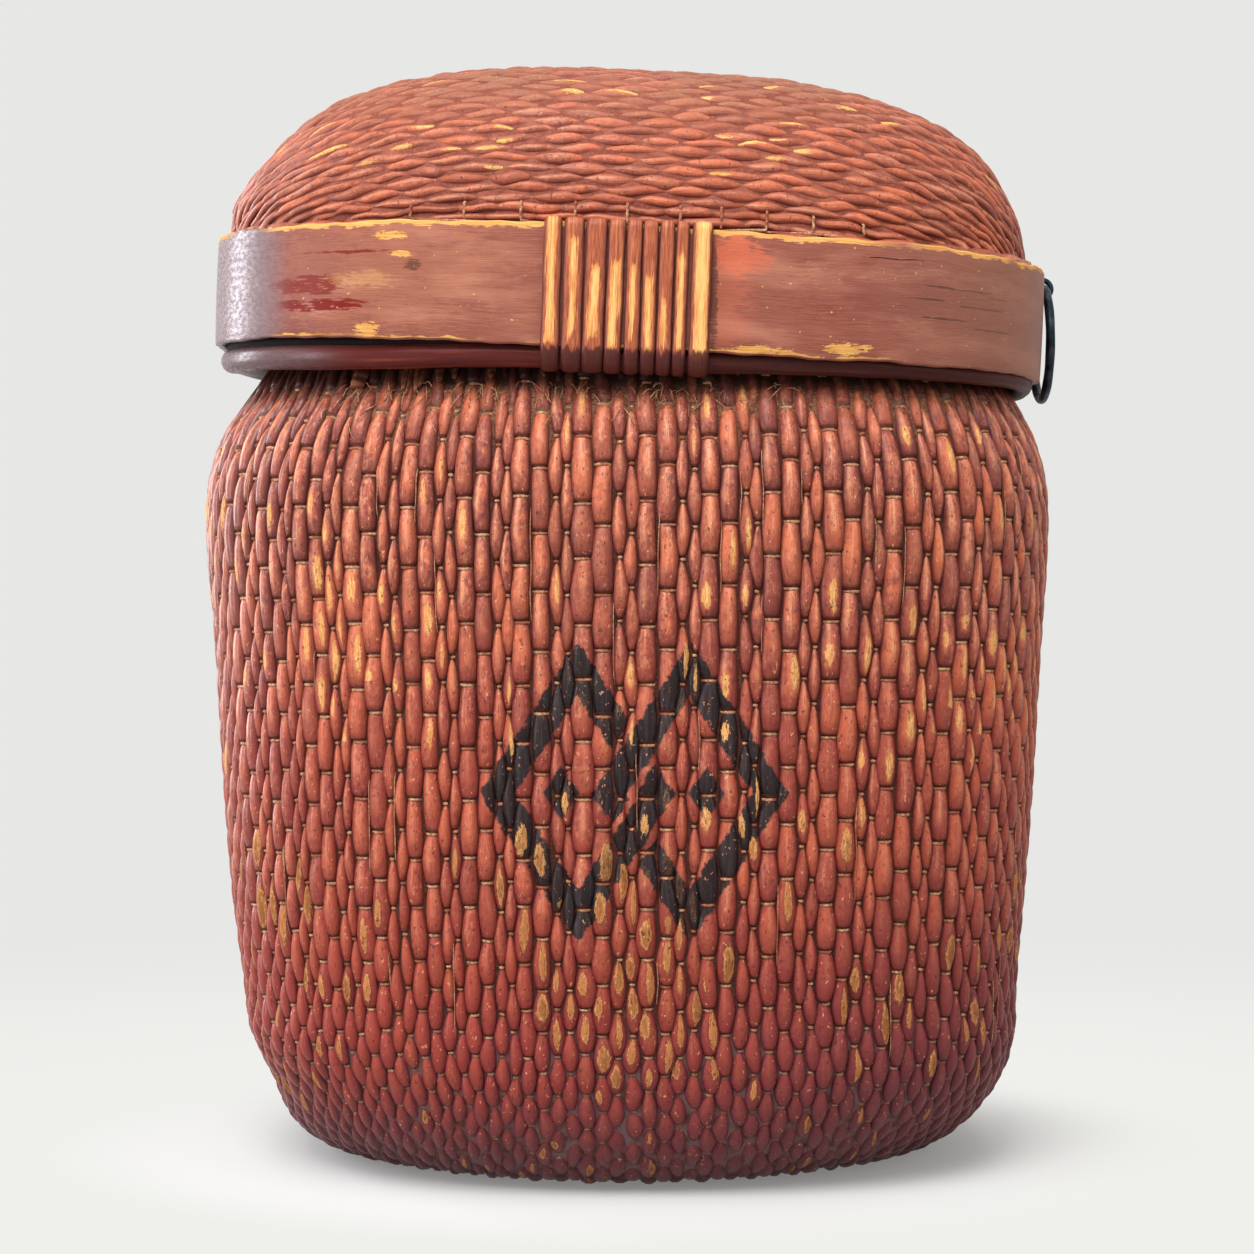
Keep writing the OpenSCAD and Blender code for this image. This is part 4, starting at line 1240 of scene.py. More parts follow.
# Broken rod ends that hang out from under the rim: place along the belly, height of the tip, half width and
# how much of it is left at the tip
stubLook = {
    "top": 0.387, "rings": 9, "sides": 12, "bury": 0.0022, "standOut": 0.0030,
    "ends": ((-0.1335, 0.3772, 0.0034, 0.95), (-0.1085, 0.3745, 0.0017, 0.3), (-0.1055, 0.3720, 0.0014, 0.2),
             (-0.1022, 0.3735, 0.0018, 0.25), (-0.0990, 0.3762, 0.0015, 0.3), (-0.0905, 0.3785, 0.0019, 0.5),
             (-0.0830, 0.3800, 0.0015, 0.4), (-0.0640, 0.3805, 0.0016, 0.4), (-0.0400, 0.3810, 0.0014, 0.3),
             (0.0500, 0.3815, 0.0015, 0.4))}


def stubMesh(around, low, size, tip):
    look = stubLook
    level = np.linspace(levelAt(look["top"]), levelAt(low), look["rings"])
    share = np.linspace(0.0, 1.0, look["rings"])
    lean = 0.0010 * math.sin(around * 900.0)
    point, outward, _ = bodyAt(around + lean * share, level)
    centre = point + outward * (look["standOut"] * share - look["bury"])[:, None]
    across = acrossLine(centre, outward)
    angle = turns(look["sides"])
    lumpy = 1.0 + 0.22 * np.sin(3.0 * angle[None] + around * 700.0 + 2.0 * share[:, None])
    taper = size * (1.0 - (1.0 - tip) * share ** 2)
    section = roundSection(1.0, 0.7, look["sides"])[None] * (lumpy * taper[:, None])[..., None]
    run = np.repeat((share * 0.012 + around)[:, None], look["sides"], 1) + 0.0004 * np.cos(angle)[None]
    up = np.repeat((1.0 - share)[:, None], look["sides"], 1)
    return sweep("stub", centre, across, outward, section, False, {"run": run, "up": up})


addPiece("brokenRodEnds", joinMeshes("brokenRodEnds", [stubMesh(*end) for end in stubLook["ends"]]), "basket",
         (), splinterWood)

# Flat base of willow rods from front to back, with a round edge rod where the wall turns under it
baseLook = {
    "reach": bodyForm["bellyX"] - bodyForm["footInset"] - bodyForm["bottomRun"], "inset": 0.004,
    "pitch": 0.0066, "bead": 0.024, "shortest": 0.012, "level": 0.0046, "edgeInset": 0.0105,
    "edgeLevel": 0.0040, "edgeRadius": 0.0034,
    "rod": {"halfWidth": 0.0036, "halfDepth": 0.0027, "waist": 0.5, "barrel": 0.6, "rise": 0.0009},
}


def basePanel():
    look, power = baseLook, bodyForm["basePower"]
    reach = look["reach"] - look["inset"]
    count = int(reach / look["pitch"])
    paths = []
    for k in range(-count, count + 1):
        x = k * look["pitch"]
        share = max(1.0 - abs(x / reach) ** power, 0.0)
        y = (reach - bodyForm["depthLess"]) * share ** (1.0 / power)
        if y < look["shortest"]:
            continue
        beads = max(2, int(round(2.0 * y / look["bead"])))
        phase = np.array([b + u for b in range(beads) for u in weaveLook["rings"]] + [beads - 0.001])
        line = -y + 2.0 * y * np.clip(phase / beads, 0, 1)
        many = len(phase)
        centre = np.stack([np.full(many, x), line, np.full(many, look["level"])], 1)
        outward, across = np.tile([0.0, 0.0, -1.0], (many, 1)), np.tile([1.0, 0.0, 0.0], (many, 1))
        paths.append(evenRod(centre, outward, across, phase + 0.5 * (k % 2), look["rod"], 400 + k))
    return paths


grow("baseWillow", basePanel(), weaving, {"Sides": 8}, bodyWillow, "basket")


def ringPath(x, z, count=240, power=bodyForm["planPower"], wave=None):
    f = turns(count)
    px, py, nx, ny, _ = planAt(x, f, power)
    centre = np.stack([px, py, np.full(count, z) if wave is None else z + wave(px, py)], 1)
    return centre, np.stack([nx, ny, np.zeros(count)], 1)


upward = np.array([0.0, 0.0, 1.0])


def hoopMesh(name, inX, outX, bottom, height, corner=0.0008, lid=False):
    centre, outward = ringPath(0.5 * (inX + outX), bottom + 0.5 * height)
    section = barSection(0.5 * height, 0.5 * (outX - inX), corner)
    up = np.tile(section[:, 0] / height + 0.5, (len(centre), 1))
    run = np.repeat(lengthAlong(*centre.T)[:, None], len(section), 1)
    face = np.tile(np.sign(section[:, 1]), (len(centre), 1))
    rail = (centre, np.tile(upward, (len(centre), 1)), outward)
    rail = allOnLid(*rail) if lid else rail
    return sweep(name, *rail, section, True, {"run": run, "up": up, "face": face})


def rodLoop(name, x, z, radius, lid=False, wave=None, count=240, power=bodyForm["planPower"], sides=14):
    centre, outward = ringPath(x, z, count, power, wave)
    size = radius(centre) if callable(radius) else np.full(len(centre), radius)
    rail = (centre, np.tile(upward, (len(centre), 1)), outward)
    circle = roundSection(1.0, 1.0, sides)
    up = np.tile(circle[:, 0] * 0.5 + 0.5, (len(centre), 1))
    face = np.tile(circle[:, 1], (len(centre), 1))
    rail = allOnLid(*rail) if lid else rail
    run = np.repeat(lengthAlong(*rail[0].T)[:, None], sides, 1)
    section = circle[None] * size[:, None, None]
    return sweep(name, *rail, section, True, {"run": run, "up": up, "face": face})


edgeRod = rodLoop("baseEdgeRod", baseLook["reach"] - baseLook["edgeInset"], baseLook["edgeLevel"],
                  baseLook["edgeRadius"], power=bodyForm["basePower"])
addPiece("baseEdgeRod", edgeRod, "basket", (), rimWood)

# Hoops, cap rod and lashings of the mouth
mouthLook = {"neckX": 0.175, "innerX": 0.1627, "thick": 0.004, "bottom": 0.39999, "height": 0.034,
             "capX": 0.171, "capLevel": 0.43929, "capRadius": 0.005, "lashings": 18, "laceWidth": 0.005,
             "laceThick": 0.0016, "gap": 0.0003, "laceGap": 0.0006, "laceBend": 0.0024}
for name, x, node in (("mouthOuterHoop", mouthLook["neckX"] + mouthLook["gap"], "mouth_outer_hoop"),
                      ("mouthInnerHoop", mouthLook["innerX"], "mouth_inner_hoop")):
    hoop = hoopMesh(name, x, x + mouthLook["thick"], mouthLook["bottom"], mouthLook["height"])
    addPiece(name, hoop, "basket", [node], plainWood)
capRod = rodLoop("mouthCapRod", mouthLook["capX"], mouthLook["capLevel"], mouthLook["capRadius"])
addPiece("mouthCapRod", capRod, "basket", ["mouth_cap_rod"], plainWood)


# Closed path round a box with rounded corners, in (outward, up) pairs
def wrappedPath(low, high, bottomRadius, topRadius, steps=5):
    points = []
    corners = ((high[0], low[1], bottomRadius, -90.0), (high[0], high[1], topRadius, 0.0),
               (low[0], high[1], topRadius, 90.0), (low[0], low[1], bottomRadius, 180.0))
    for x, z, r, start in corners:
        cx = x - r if x == high[0] else x + r
        cz = z + r if z == low[1] else z - r
        for k in range(steps + 1):
            angle = math.radians(start + 90.0 * k / steps)
            points.append((cx + r * math.cos(angle), cz + r * math.sin(angle)))
    return np.array(points)


def denser(path, step):
    closed = np.concatenate([path, path[:1]])
    run = lengthAlong(*closed.T)
    count = max(8, int(run[-1] / step))
    at = np.linspace(0.0, run[-1], count, endpoint=False)
    at = np.unique(np.concatenate([at, run[:-1]]))
    return np.stack([np.interp(at, run, closed[:, k]) for k in range(2)], 1)


def loopFrame(path, origin, outDirection, upDirection):
    ahead = unit(np.roll(path, -1, 0) - np.roll(path, 1, 0))
    centre = origin + path[:, :1] * outDirection + path[:, 1:] * upDirection
    normal = ahead[:, 1:] * outDirection - ahead[:, :1] * upDirection
    side = np.tile(np.cross(outDirection, upDirection), (len(path), 1))
    return centre, side, normal


def lashingMesh(number):
    look = mouthLook
    f = 2.0 * math.pi * (number + 0.5) / look["lashings"]
    px, py, nx, ny, _ = planAt(look["neckX"] + look["gap"] + look["thick"], f)
    qx, qy, _, _, _ = planAt(look["innerX"], f)
    span = (px - qx) * nx + (py - qy) * ny
    half = 0.5 * look["laceThick"]
    low = (-span - look["laceGap"] - half, look["bottom"] - look["gap"] - half)
    high = (look["laceGap"] + half, look["capLevel"] + look["capRadius"] + look["gap"] + half)
    path = denser(wrappedPath(low, high, look["laceBend"], look["laceBend"]), 0.003)
    centre, side, normal = loopFrame(path, np.array([px, py, 0.0]), np.array([nx, ny, 0.0]), upward)
    section = barSection(0.5 * look["laceWidth"], half, 0.0006, 2)
    up = np.tile(section[:, 0] / look["laceWidth"] + 0.5, (len(centre), 1))
    run = np.repeat(lengthAlong(*centre.T)[:, None] + number, len(section), 1)
    return sweep("lashing", centre, side, normal, section, True,
                 {"run": run, "up": up, "face": np.full(up.shape, float(number))})


lashings = joinMeshes("mouthLashings", [lashingMesh(i) for i in range(mouthLook["lashings"])])
addPiece("mouthLashings", lashings, "basket", ["mouth_lashings"], caneFinish)
print("mouth finished")

# Dome of the lid: rods from left to right, each in a plane through a line under the dome
domeLook = {
    "rods": 59, "course": 0.0117, "halfDepth": 0.0026, "rise": 0.0011, "tuck": 0.008, "sides": 10, "seed": 5,
    "rings": (0.0, 0.05, 0.16, 0.32, 0.5, 0.68, 0.84, 0.95), "tied": 2, "flatter": 0.0022, "foot": 0.75,
    "pitches": ((0.0, 0.00445), (0.010, 0.00465), (0.050, 0.0057), (0.067, 0.0067), (0.091, 0.0080)),
    # how uneven the beads are: length, width, sideways in both directions and height
    "uneven": 0.30, "thinner": 0.30, "thicker": 0.12, "swing": 0.0009, "bow": 0.0006, "lower": 0.0007,
    "higher": 0.0005,
    # waist, fullness and rise of plain rods and of lens shaped ones, and how wide they are
    "lens": {"waist": 0.42, "barrel": 1.05, "wide": 1.24},
    "plain": {"waist": 0.82, "barrel": 0.45, "wide": 1.06},
    "tiedWaist": 0.66, "plainRise": 0.0005, "risesTo": ((0.0, 1.0), (0.06, 0.95), (0.091, 0.65)),
    # how far the dome stands out from a smooth one: height over the band, at the left and at the right
    "sidesOut": ((0.0, 0.0040, -0.0006), (0.012, 0.0042, -0.0018), (0.020, 0.0010, -0.0030),
                 (0.027, -0.0014, -0.0038), (0.035, -0.0046, -0.0048), (0.043, -0.0056, -0.0050),
                 (0.051, -0.0054, -0.0040), (0.060, -0.0037, -0.0022), (0.067, -0.0021, -0.0014),
                 (0.074, -0.0014, -0.0014), (0.080, 0.0010, -0.0022), (0.091, 0.0, -0.0030)),
}
domeY = lidForm["domeX"] - bodyForm["depthLess"]


def domeShare(x, y):
    p = bodyForm["planPower"]
    return (np.abs(x / lidForm["domeX"]) ** p + np.abs(y / domeY) ** p) ** (1.0 / p)


def domeHeight(x, y):
    q = lidForm["domePower"]
    return lidForm["domeRise"] * np.clip(1.0 - np.minimum(domeShare(x, y), 1.0) ** q, 0.0, 1.0) ** (1.0 / q)


def domeNormal(points):
    x, y, h = points[:, 0], points[:, 1], points[:, 2]
    p, q = bodyForm["planPower"], lidForm["domePower"]
    share = np.maximum(domeShare(x, y), 1e-6)
    gx = np.sign(x) * np.abs(x / lidForm["domeX"]) ** (p - 1) / lidForm["domeX"] * share ** (q - p)
    gy = np.sign(y) * np.abs(y / domeY) ** (p - 1) / domeY * share ** (q - p)
    gz = np.maximum(h, 0.0) ** (q - 1) / lidForm["domeRise"] ** q
    return unit(np.stack([gx, gy, gz + 1e-9], 1))


# The real dome is a little flatter and leaner than a smooth one, and flares at its left foot
def leanDome(points):
    x, h = points[:, 0], points[:, 2]
    high, leftOut, rightOut = zip(*domeLook["sidesOut"])
    left = smoothStep(-x, 0.06, 0.17) * np.interp(h, high, leftOut)
    right = smoothStep(x, 0.05, 0.16) * np.interp(h, high, rightOut)
    points[:, 0] += right - left
    points[:, 2] -= domeLook["flatter"] * smoothStep(h, 0.03, 0.085)
    return points


def domeSlice(angle, samples=500):
    reachY = lidForm["axisDrop"] * math.tan(abs(angle))
    p = bodyForm["planPower"]
    end = lidForm["domeX"] * max(1.0 - (reachY / domeY) ** p, 0.0) ** (1.0 / p)
    x = end * np.sin(np.linspace(-0.5 * math.pi, 0.5 * math.pi, samples))
    low, high = np.zeros(samples), np.full(samples, domeY)
    for _ in range(46):
        y = 0.5 * (low + high)
        more = y - (domeHeight(x, y) + lidForm["axisDrop"]) * math.tan(abs(angle)) > 0.0
        high = np.where(more, y, high)
        low = np.where(more, low, y)
    return np.stack([x, np.sign(angle) * y, domeHeight(x, y)], 1)


def domeAngles():
    y = domeY * np.sin(np.linspace(0.0, 0.5 * math.pi, 2000))
    h = domeHeight(np.zeros(y.shape), y)
    pitch = fromTable(h, domeLook["pitches"])
    count = np.concatenate([[0.0], np.cumsum(np.diff(lengthAlong(y, h)) / (0.5 * (pitch[1:] + pitch[:-1])))])
    half = (domeLook["rods"] - 1) // 2
    count *= (half + domeLook["foot"]) / count[-1]
    side = [np.interp(k, count, np.arctan2(y, h + lidForm["axisDrop"])) for k in range(1, half + 1)]
    return [-a for a in reversed(side)] + [0.0] + side


lidChance = random.Random(domeLook["seed"])
angles = domeAngles()


# Uneven beads of a dome rod: their phase, place along the rod and how each point is moved and thickened
def domeBeads(number, middle, end):
    look, rows = domeLook, []
    first = -math.ceil(middle / look["course"]) - 2
    start = (number % 2) + first + (first % 2)
    k, shake = start, 0.0
    while k * look["course"] < end - middle + look["tuck"]:
        following = lidChance.uniform(-look["uneven"], look["uneven"])
        more = lidChance.uniform(-look["thinner"], look["thicker"])
        swing = lidChance.uniform(-look["swing"], look["swing"])
        lift = lidChance.uniform(-look["lower"], look["higher"])
        bow = lidChance.uniform(-look["bow"], look["bow"])
        for u in look["rings"]:
            place = (k + shake + u * (2.0 + following - shake)) * look["course"] + middle
            swell = math.sin(math.pi * u)
            if -look["tuck"] < place < end + look["tuck"]:
                rows.append(((k - start) // 2 + u, place, swing * math.sin(2.0 * math.pi * u) + bow * swell,
                             lift * swell, 1.0 + more * swell))
        shake = following
        k += 2
    return np.array(rows).T


def domeRod(number):
    look, angle = domeLook, angles[number]
    step = 0.5 * (angles[min(number + 1, len(angles) - 1)] - angles[max(number - 1, 0)])
    if number in (0, len(angles) - 1):
        step *= 2.0
    tied = number < look["tied"]
    line = domeSlice(angle)
    run = lengthAlong(*line.T)
    phases, places, swings, lifts, plump = domeBeads(number, np.interp(0.0, line[:, 0], run), run[-1])
    point = np.stack([np.interp(places, run, line[:, j]) for j in range(3)], 1)
    normal = domeNormal(point)
    below = np.maximum(np.maximum(-places, places - run[-1]), 0.0)
    high = np.clip(point[:, 2], 0.0, 1.0)
    point = leanDome(point)
    point[:, 2] -= below
    point += normal * (0.0022 * smoothStep(below, 0.0, 0.004))[:, None] * np.array([1.0, 1.0, 0.0])
    across = acrossLine(point, normal)
    away = np.hypot(point[:, 1], point[:, 2] + lidForm["axisDrop"])
    plane = np.array([0.0, math.cos(angle), -math.sin(angle)])
    spacing = away * step / np.maximum(np.abs(across @ plane), 0.35)
    depth = look["halfDepth"] * np.interp(spacing, [0.003, 0.008], [0.8, 1.1])
    point += across * swings[:, None] + normal * lifts[:, None]
    point[:, 2] += lidForm["bandTop"]
    centre, across, outward = allOnLid(point - normal * depth[:, None], across, normal)
    # long plain stretches at both ends and along the band, lens shaped swellings over the rest
    plain = np.maximum(smoothStep(-point[:, 0], 0.125, 0.165), smoothStep(point[:, 0], 0.14, 0.175))
    plain = np.maximum(plain, 1.0 if tied else 0.0)
    shape = {key: look["lens"][key] * (1.0 - plain) + look["plain"][key] * plain for key in look["lens"]}
    if tied:
        shape["waist"] = np.full(plain.shape, look["tiedWaist"])
    rise = look["rise"] * fromTable(high, look["risesTo"]) * (1.0 - plain) + look["plainRise"] * plain
    halfWidth = 0.5 * spacing * shape["wide"] * plump * lidChance.uniform(0.94, 1.06)
    return {"centre": centre, "outward": outward, "across": across, "phase": phases, "halfWidth": halfWidth,
            "halfDepth": depth, "waist": shape["waist"], "barrel": shape["barrel"], "rise": rise,
            "rodId": np.full(len(phases), 600.0 + number), "marked": np.zeros(len(phases))}


domeRods = [domeRod(i) for i in range(len(angles))]

# Places of the flakes on the lid where the lacquer is worn through, and how large they are
flakeLook = ((-0.0257, -0.1086, 0.0646, 2), (0.0001, -0.1098, 0.0641, 2), (-0.0290, -0.0957, 0.0722, 1),
             (0.0278, -0.1082, 0.0649, 1), (0.0255, -0.0937, 0.0732, 1), (0.0607, -0.0919, 0.0725, 1),
             (-0.0953, -0.0875, 0.0701, 1), (-0.1476, -0.0910, 0.0489, 1), (-0.1433, -0.1079, 0.0341, 2),
             (-0.1282, -0.1185, 0.0286, 1), (-0.0961, -0.1209, 0.0445, 1), (-0.1080, -0.1221, 0.0371, 1),
             (-0.0837, -0.1294, 0.0334, 1), (-0.0597, -0.1263, 0.0451, 1), (-0.0606, -0.1305, 0.0372, 1),
             (-0.0681, -0.1315, 0.0328, 1), (-0.0601, -0.1340, 0.0273, 1), (0.0363, -0.1289, 0.0430, 1),
             (0.0500, -0.1301, 0.0397, 1), (0.0614, -0.1274, 0.0428, 1), (0.0610, -0.1315, 0.0350, 1),
             (0.0733, -0.1286, 0.0386, 1), (0.0964, -0.1002, 0.0633, 1), (0.1166, -0.1002, 0.0576, 1),
             (0.0385, -0.1352, 0.0269, 1))
for x, y, high, amount in flakeLook:
    at = onLid(np.array([x, y, high + lidForm["bandTop"]]))
    reaches = [np.linalg.norm(rod["centre"] - at, axis=1) for rod in domeRods]
    number = int(np.argmin([reach.min() for reach in reaches]))
    nearest, closest = domeRods[number], reaches[number].argmin()
    beads = np.floor(nearest["phase"])
    share = nearest["phase"][closest] - beads[closest]
    mark = amount + 0.5 * min(max(share, 0.16), 0.84)
    nearest["marked"] = np.where(beads == beads[closest], mark, nearest["marked"])
half = (len(domeRods) + 1) // 2
for k in range(2):
    grow(f"lidWillow{k + 1}", domeRods[k * half:(k + 1) * half], weaving,
         {"Sides": domeLook["sides"], "Waist depth": 0.66}, lidWillow, "lid",
         ["lid_weave", "lid_cords"])


# Cord ties over the two lowest rods at the front of the lid
tieLook = {"at": (-0.100, -0.0765, -0.0510, -0.0265, -0.0030, 0.0210, 0.0395, 0.0600, 0.0815, 0.1050),
           "size": 0.00065, "clear": 0.0008, "past": 0.7, "dip": 0.0016, "tuck": 0.002}


def tiePath(x):
    look, past = tieLook, tieLook["past"]
    shares = np.linspace(-past, 1.0 + past, 9)
    tilts = np.interp(shares, [-past, 0.0, 1.0, 1.0 + past],
                      [angles[0] - past * (angles[1] - angles[0]), angles[0], angles[1],
                       angles[1] + past * (angles[2] - angles[1])])
    lines = [domeSlice(tilt, 200) for tilt in tilts]
    points = np.array([[np.interp(x, line[:, 0], line[:, j]) for j in range(3)] for line in lines])
    normal = domeNormal(points)
    dip = look["clear"] - look["dip"] * np.sin(math.pi * (shares + 0.5)) ** 2
    dip = dip - look["tuck"] * (np.abs(shares - 0.5) > 1.1)
    points = leanDome(points) + normal * dip[:, None] + np.array([0.0, 0.0, lidForm["bandTop"]])
    across = acrossLine(points, normal)
    centre, across, outward = allOnLid(points, across, normal)
    return {"centre": centre, "outward": outward, "across": across,
            "halfWidth": np.full(len(points), look["size"])}


grow("lidTies", [tiePath(x) for x in tieLook["at"]], cording, {"Sides": 6}, cordFinish, "lid")


# Lacquer lies in the hollows between the lid's rods
skinLook = {"around": 180, "rows": 40, "thick": 0.0008, "foot": 0.006, "topSunk": 0.0014,
            "sunk": ((0.0, 0.0025), (0.03, 0.0023), (0.091, 0.0017))}


def domeSkin():
    look, around = skinLook, skinLook["around"]
    f = turns(around)
    px, py, _, _, _ = planAt(lidForm["domeX"], f)
    rows = []
    for k in range(look["rows"]):
        t = math.cos(math.radians(89.0 * k / (look["rows"] - 1))) ** 0.8
        high = domeHeight(np.array([lidForm["domeX"] * t]), np.array([0.0]))[0]
        point = np.stack([px * t, py * t, np.full(around, high)], 1)
        normal = domeNormal(point)
        rows.append(leanDome(point) - normal * fromTable(high, look["sunk"]))
    lowest = rows[0] * np.array([1.0, 1.0, 0.0]) - np.array([0.0, 0.0, look["foot"]])
    crown = np.array([[0.0, 0.0, lidForm["domeRise"] - domeLook["flatter"] - look["topSunk"]]])
    points = np.concatenate([lowest, *rows, crown]) + np.array([0.0, 0.0, lidForm["bandTop"]])
    top = look["rows"] * around
    faces = [(a, d, c, b) for a, b, c, d in sheetFaces(look["rows"] + 1, around)]
    faces += [(top + k, top + (k + 1) % around, len(points) - 1) for k in range(around)]
    return smoothMesh("lidSkin", onLid(points), faces)


addPiece("lidSkin", thicken(domeSkin(), skinLook["thick"]), "lid", (), lidSkinFinish)


# Upright wall behind the band: closed loops of beads
wallLook = {"loops": 8, "lowest": 0.0102, "pitch": 0.0066, "beads": 46, "x": 0.1946,
            "rings": (0.0, 0.08, 0.25, 0.5, 0.75, 0.92),
            "rod": {"halfWidth": 0.0037, "halfDepth": 0.0034, "waist": 0.7, "barrel": 0.6, "rise": 0.0006}}


def wallLoop(number):
    look = wallLook
    phase = np.array([k + u for k in range(look["beads"]) for u in look["rings"]]) + 0.5 * (number % 2)
    f = np.linspace(0.0, 2.0 * math.pi, 1440)
    px, py, nx, ny, _ = planAt(look["x"], f)
    run = lengthAlong(px, py)
    at = np.mod(phase / look["beads"] * run[-1], run[-1])
    order = np.argsort(at)
    at, phase = at[order], phase[order]
    level = look["lowest"] + look["pitch"] * number
    centre = np.stack([np.interp(at, run, px), np.interp(at, run, py), np.full(at.shape, level)], 1)
    outward = unit(np.stack([np.interp(at, run, nx), np.interp(at, run, ny), np.zeros(at.shape)], 1))
    centre, across, outward = allOnLid(centre, np.tile(upward, (len(at), 1)), outward)
    return evenRod(centre, outward, across, phase, look["rod"], 800 + number)


grow("lidWall", [wallLoop(k) for k in range(wallLook["loops"])], weaving, {"Sides": 8}, lidWillow, "lid",
     (), True)
print("lid woven")

# Bentwood band, with the uneven edges of the real one: place across the front and how much the edge is moved
bandLook = {
    "inX": 0.1990, "outX": 0.2035, "bottom": 0.0065, "top": 0.060, "gap": 0.0012, "corner": 0.0010,
    "crown": 0.0003,
    "topMove": ((-0.199, -0.0039), (-0.176, -0.0036), (-0.103, -0.0013), (-0.040, 0.0003), (0.034, -0.0013),
                (0.077, -0.0016), (0.123, -0.0025), (0.172, -0.0033), (0.189, -0.0038)),
    "lowMove": ((-0.191, -0.0016), (-0.143, -0.0008), (-0.102, -0.0007), (-0.040, -0.0023), (0.041, -0.0019),
                (0.083, -0.0037), (0.114, -0.0025), (0.147, -0.0032), (0.195, -0.0034)),
    "lowest": -0.0046, "cornerIn": 0.0033, "cornerY": -0.085, "cornerReach": 0.040,
    # ripples of the edges at the front, and the longer wave at the back: height, per metre, start
    "ripples": ((0.0004, 61.0, 0.0), (0.0003, 143.0, 1.0), (0.00018, 410.0, 0.0)),
    "back": (0.0008, 17.0, 0.6), "backLower": 0.0022,
}


def drawIn(points):
    weight = np.exp(-((points[:, 1] - bandLook["cornerY"]) / bandLook["cornerReach"]) ** 2)
    points[:, 0] -= bandLook["cornerIn"] * weight * smoothStep(points[:, 0], 0.10, 0.17)
    return points


def ripple(run, height, often, start):
    return height * np.sin(run * often + start)


def bandMesh():
    look = bandLook
    half = look["gap"] / (look["outX"] - bodyForm["depthLess"])
    f = np.linspace(-0.5 * math.pi + half, 1.5 * math.pi - half, 900)
    px, py, nx, ny, _ = planAt(0.5 * (look["inX"] + look["outX"]), f)
    centre = drawIn(np.stack([px, py, np.zeros(f.shape)], 1))
    outward = np.stack([nx, ny, np.zeros(f.shape)], 1)
    run = lengthAlong(*centre.T)
    front = smoothStep(-py, -0.06, 0.03)
    wave = sum(ripple(run, *row) for row in look["ripples"])
    back = (1 - front) * (ripple(run, *look["back"]) - look["backLower"])
    top = look["top"] + front * fromTable(px, look["topMove"]) + back + wave
    lowMove = front * fromTable(px, look["lowMove"]) + back - wave * 0.8
    bottom = look["bottom"] + np.maximum(lowMove, look["lowest"])
    depth, corner = 0.5 * (look["outX"] - look["inX"]), look["corner"]
    # section as share of the height, depth and lift: up the crowned outside, then down the flat inside
    rows = [(0.0, depth - corner, 0.0), (0.0, depth - 0.3 * corner, 0.3 * corner)]
    for share in np.linspace(0.0, 1.0, 8):
        lift = corner if share == 0.0 else (-corner if share == 1.0 else 0.0)
        rows.append((share, depth + look["crown"] * math.sin(math.pi * share), lift))
    rows += [(1.0, depth - 0.3 * corner, -0.3 * corner), (1.0, depth - corner, 0.0),
             (1.0, -depth + 0.0004, 0.0), (1.0, -depth, -0.0005), (0.0, -depth, 0.0005),
             (0.0, -depth + 0.0004, 0.0)]
    section = np.stack([np.stack([bottom + (top - bottom) * share + lift, np.full(f.shape, out)], 1)
                        for share, out, lift in rows], 1)
    up = (section[..., 0] - bottom[:, None]) / (top - bottom)[:, None]
    # wear shows on the outer face and the top edge, not underneath
    face = np.where(section[..., 1] > np.where(up > 0.5, -0.5 * depth, depth - 0.1 * corner), 1.0, -1.0)
    rail = allOnLid(centre, np.tile(upward, (len(f), 1)), outward)
    return sweep("lidBand", *rail, section, False,
                 {"run": np.repeat(run[:, None], section.shape[1], 1), "up": up, "face": face})


addPiece("lidBand", bandMesh(), "lid", ["lid_band"], bandWood)
innerLook = {"inX": 0.1869, "outX": 0.1904, "bottom": 0.0065, "height": 0.032}
innerHoop = hoopMesh("lidInnerHoop", *innerLook.values(), lid=True)
addPiece("lidInnerHoop", innerHoop, "lid", ["lid_inner_hoop"], plainWood)

# Round rod under the band, thicker at its left end, where it hangs lower, and over it a near-black rod that
# stands in for the shade in the gap between band and wall
rimLook = {"x": 0.1947, "radius": 0.0056, "leftMore": 0.0005, "rightLess": 0.0010, "sag": 0.0030,
           "lift": 0.0012, "raised": 0.0004, "uneven": 0.00012}
gapShadowLook = {"x": 0.1952, "level": 0.0068, "radius": 0.0030}


def rimRadius(centre):
    x = centre[:, 0]
    uneven = rimLook["uneven"] * np.sin(x * 180.0 + centre[:, 1] * 90.0)
    return (rimLook["radius"] + uneven + rimLook["leftMore"] * smoothStep(-x, 0.05, 0.18)
            - rimLook["rightLess"] * smoothStep(x, 0.02, 0.15))


def rimWave(px, py):
    lift = rimLook["lift"] * smoothStep(px, 0.0, 0.1) + rimLook["raised"]
    return (lift - rimLook["sag"] * smoothStep(-px, 0.04, 0.14)) * smoothStep(-py, 0.0, 0.06)


addPiece("lidRimRod", rodLoop("lidRimRod", rimLook["x"], 0.0, rimRadius, True, rimWave, 300),
         "lid", ["lid_rim_rod"], rimWood)
gapShadow = rodLoop("lidGapShadow", gapShadowLook["x"], gapShadowLook["level"], gapShadowLook["radius"], True, rimWave)
addPiece("lidGapShadow", gapShadow, "lid", (), gapShadowFinish)

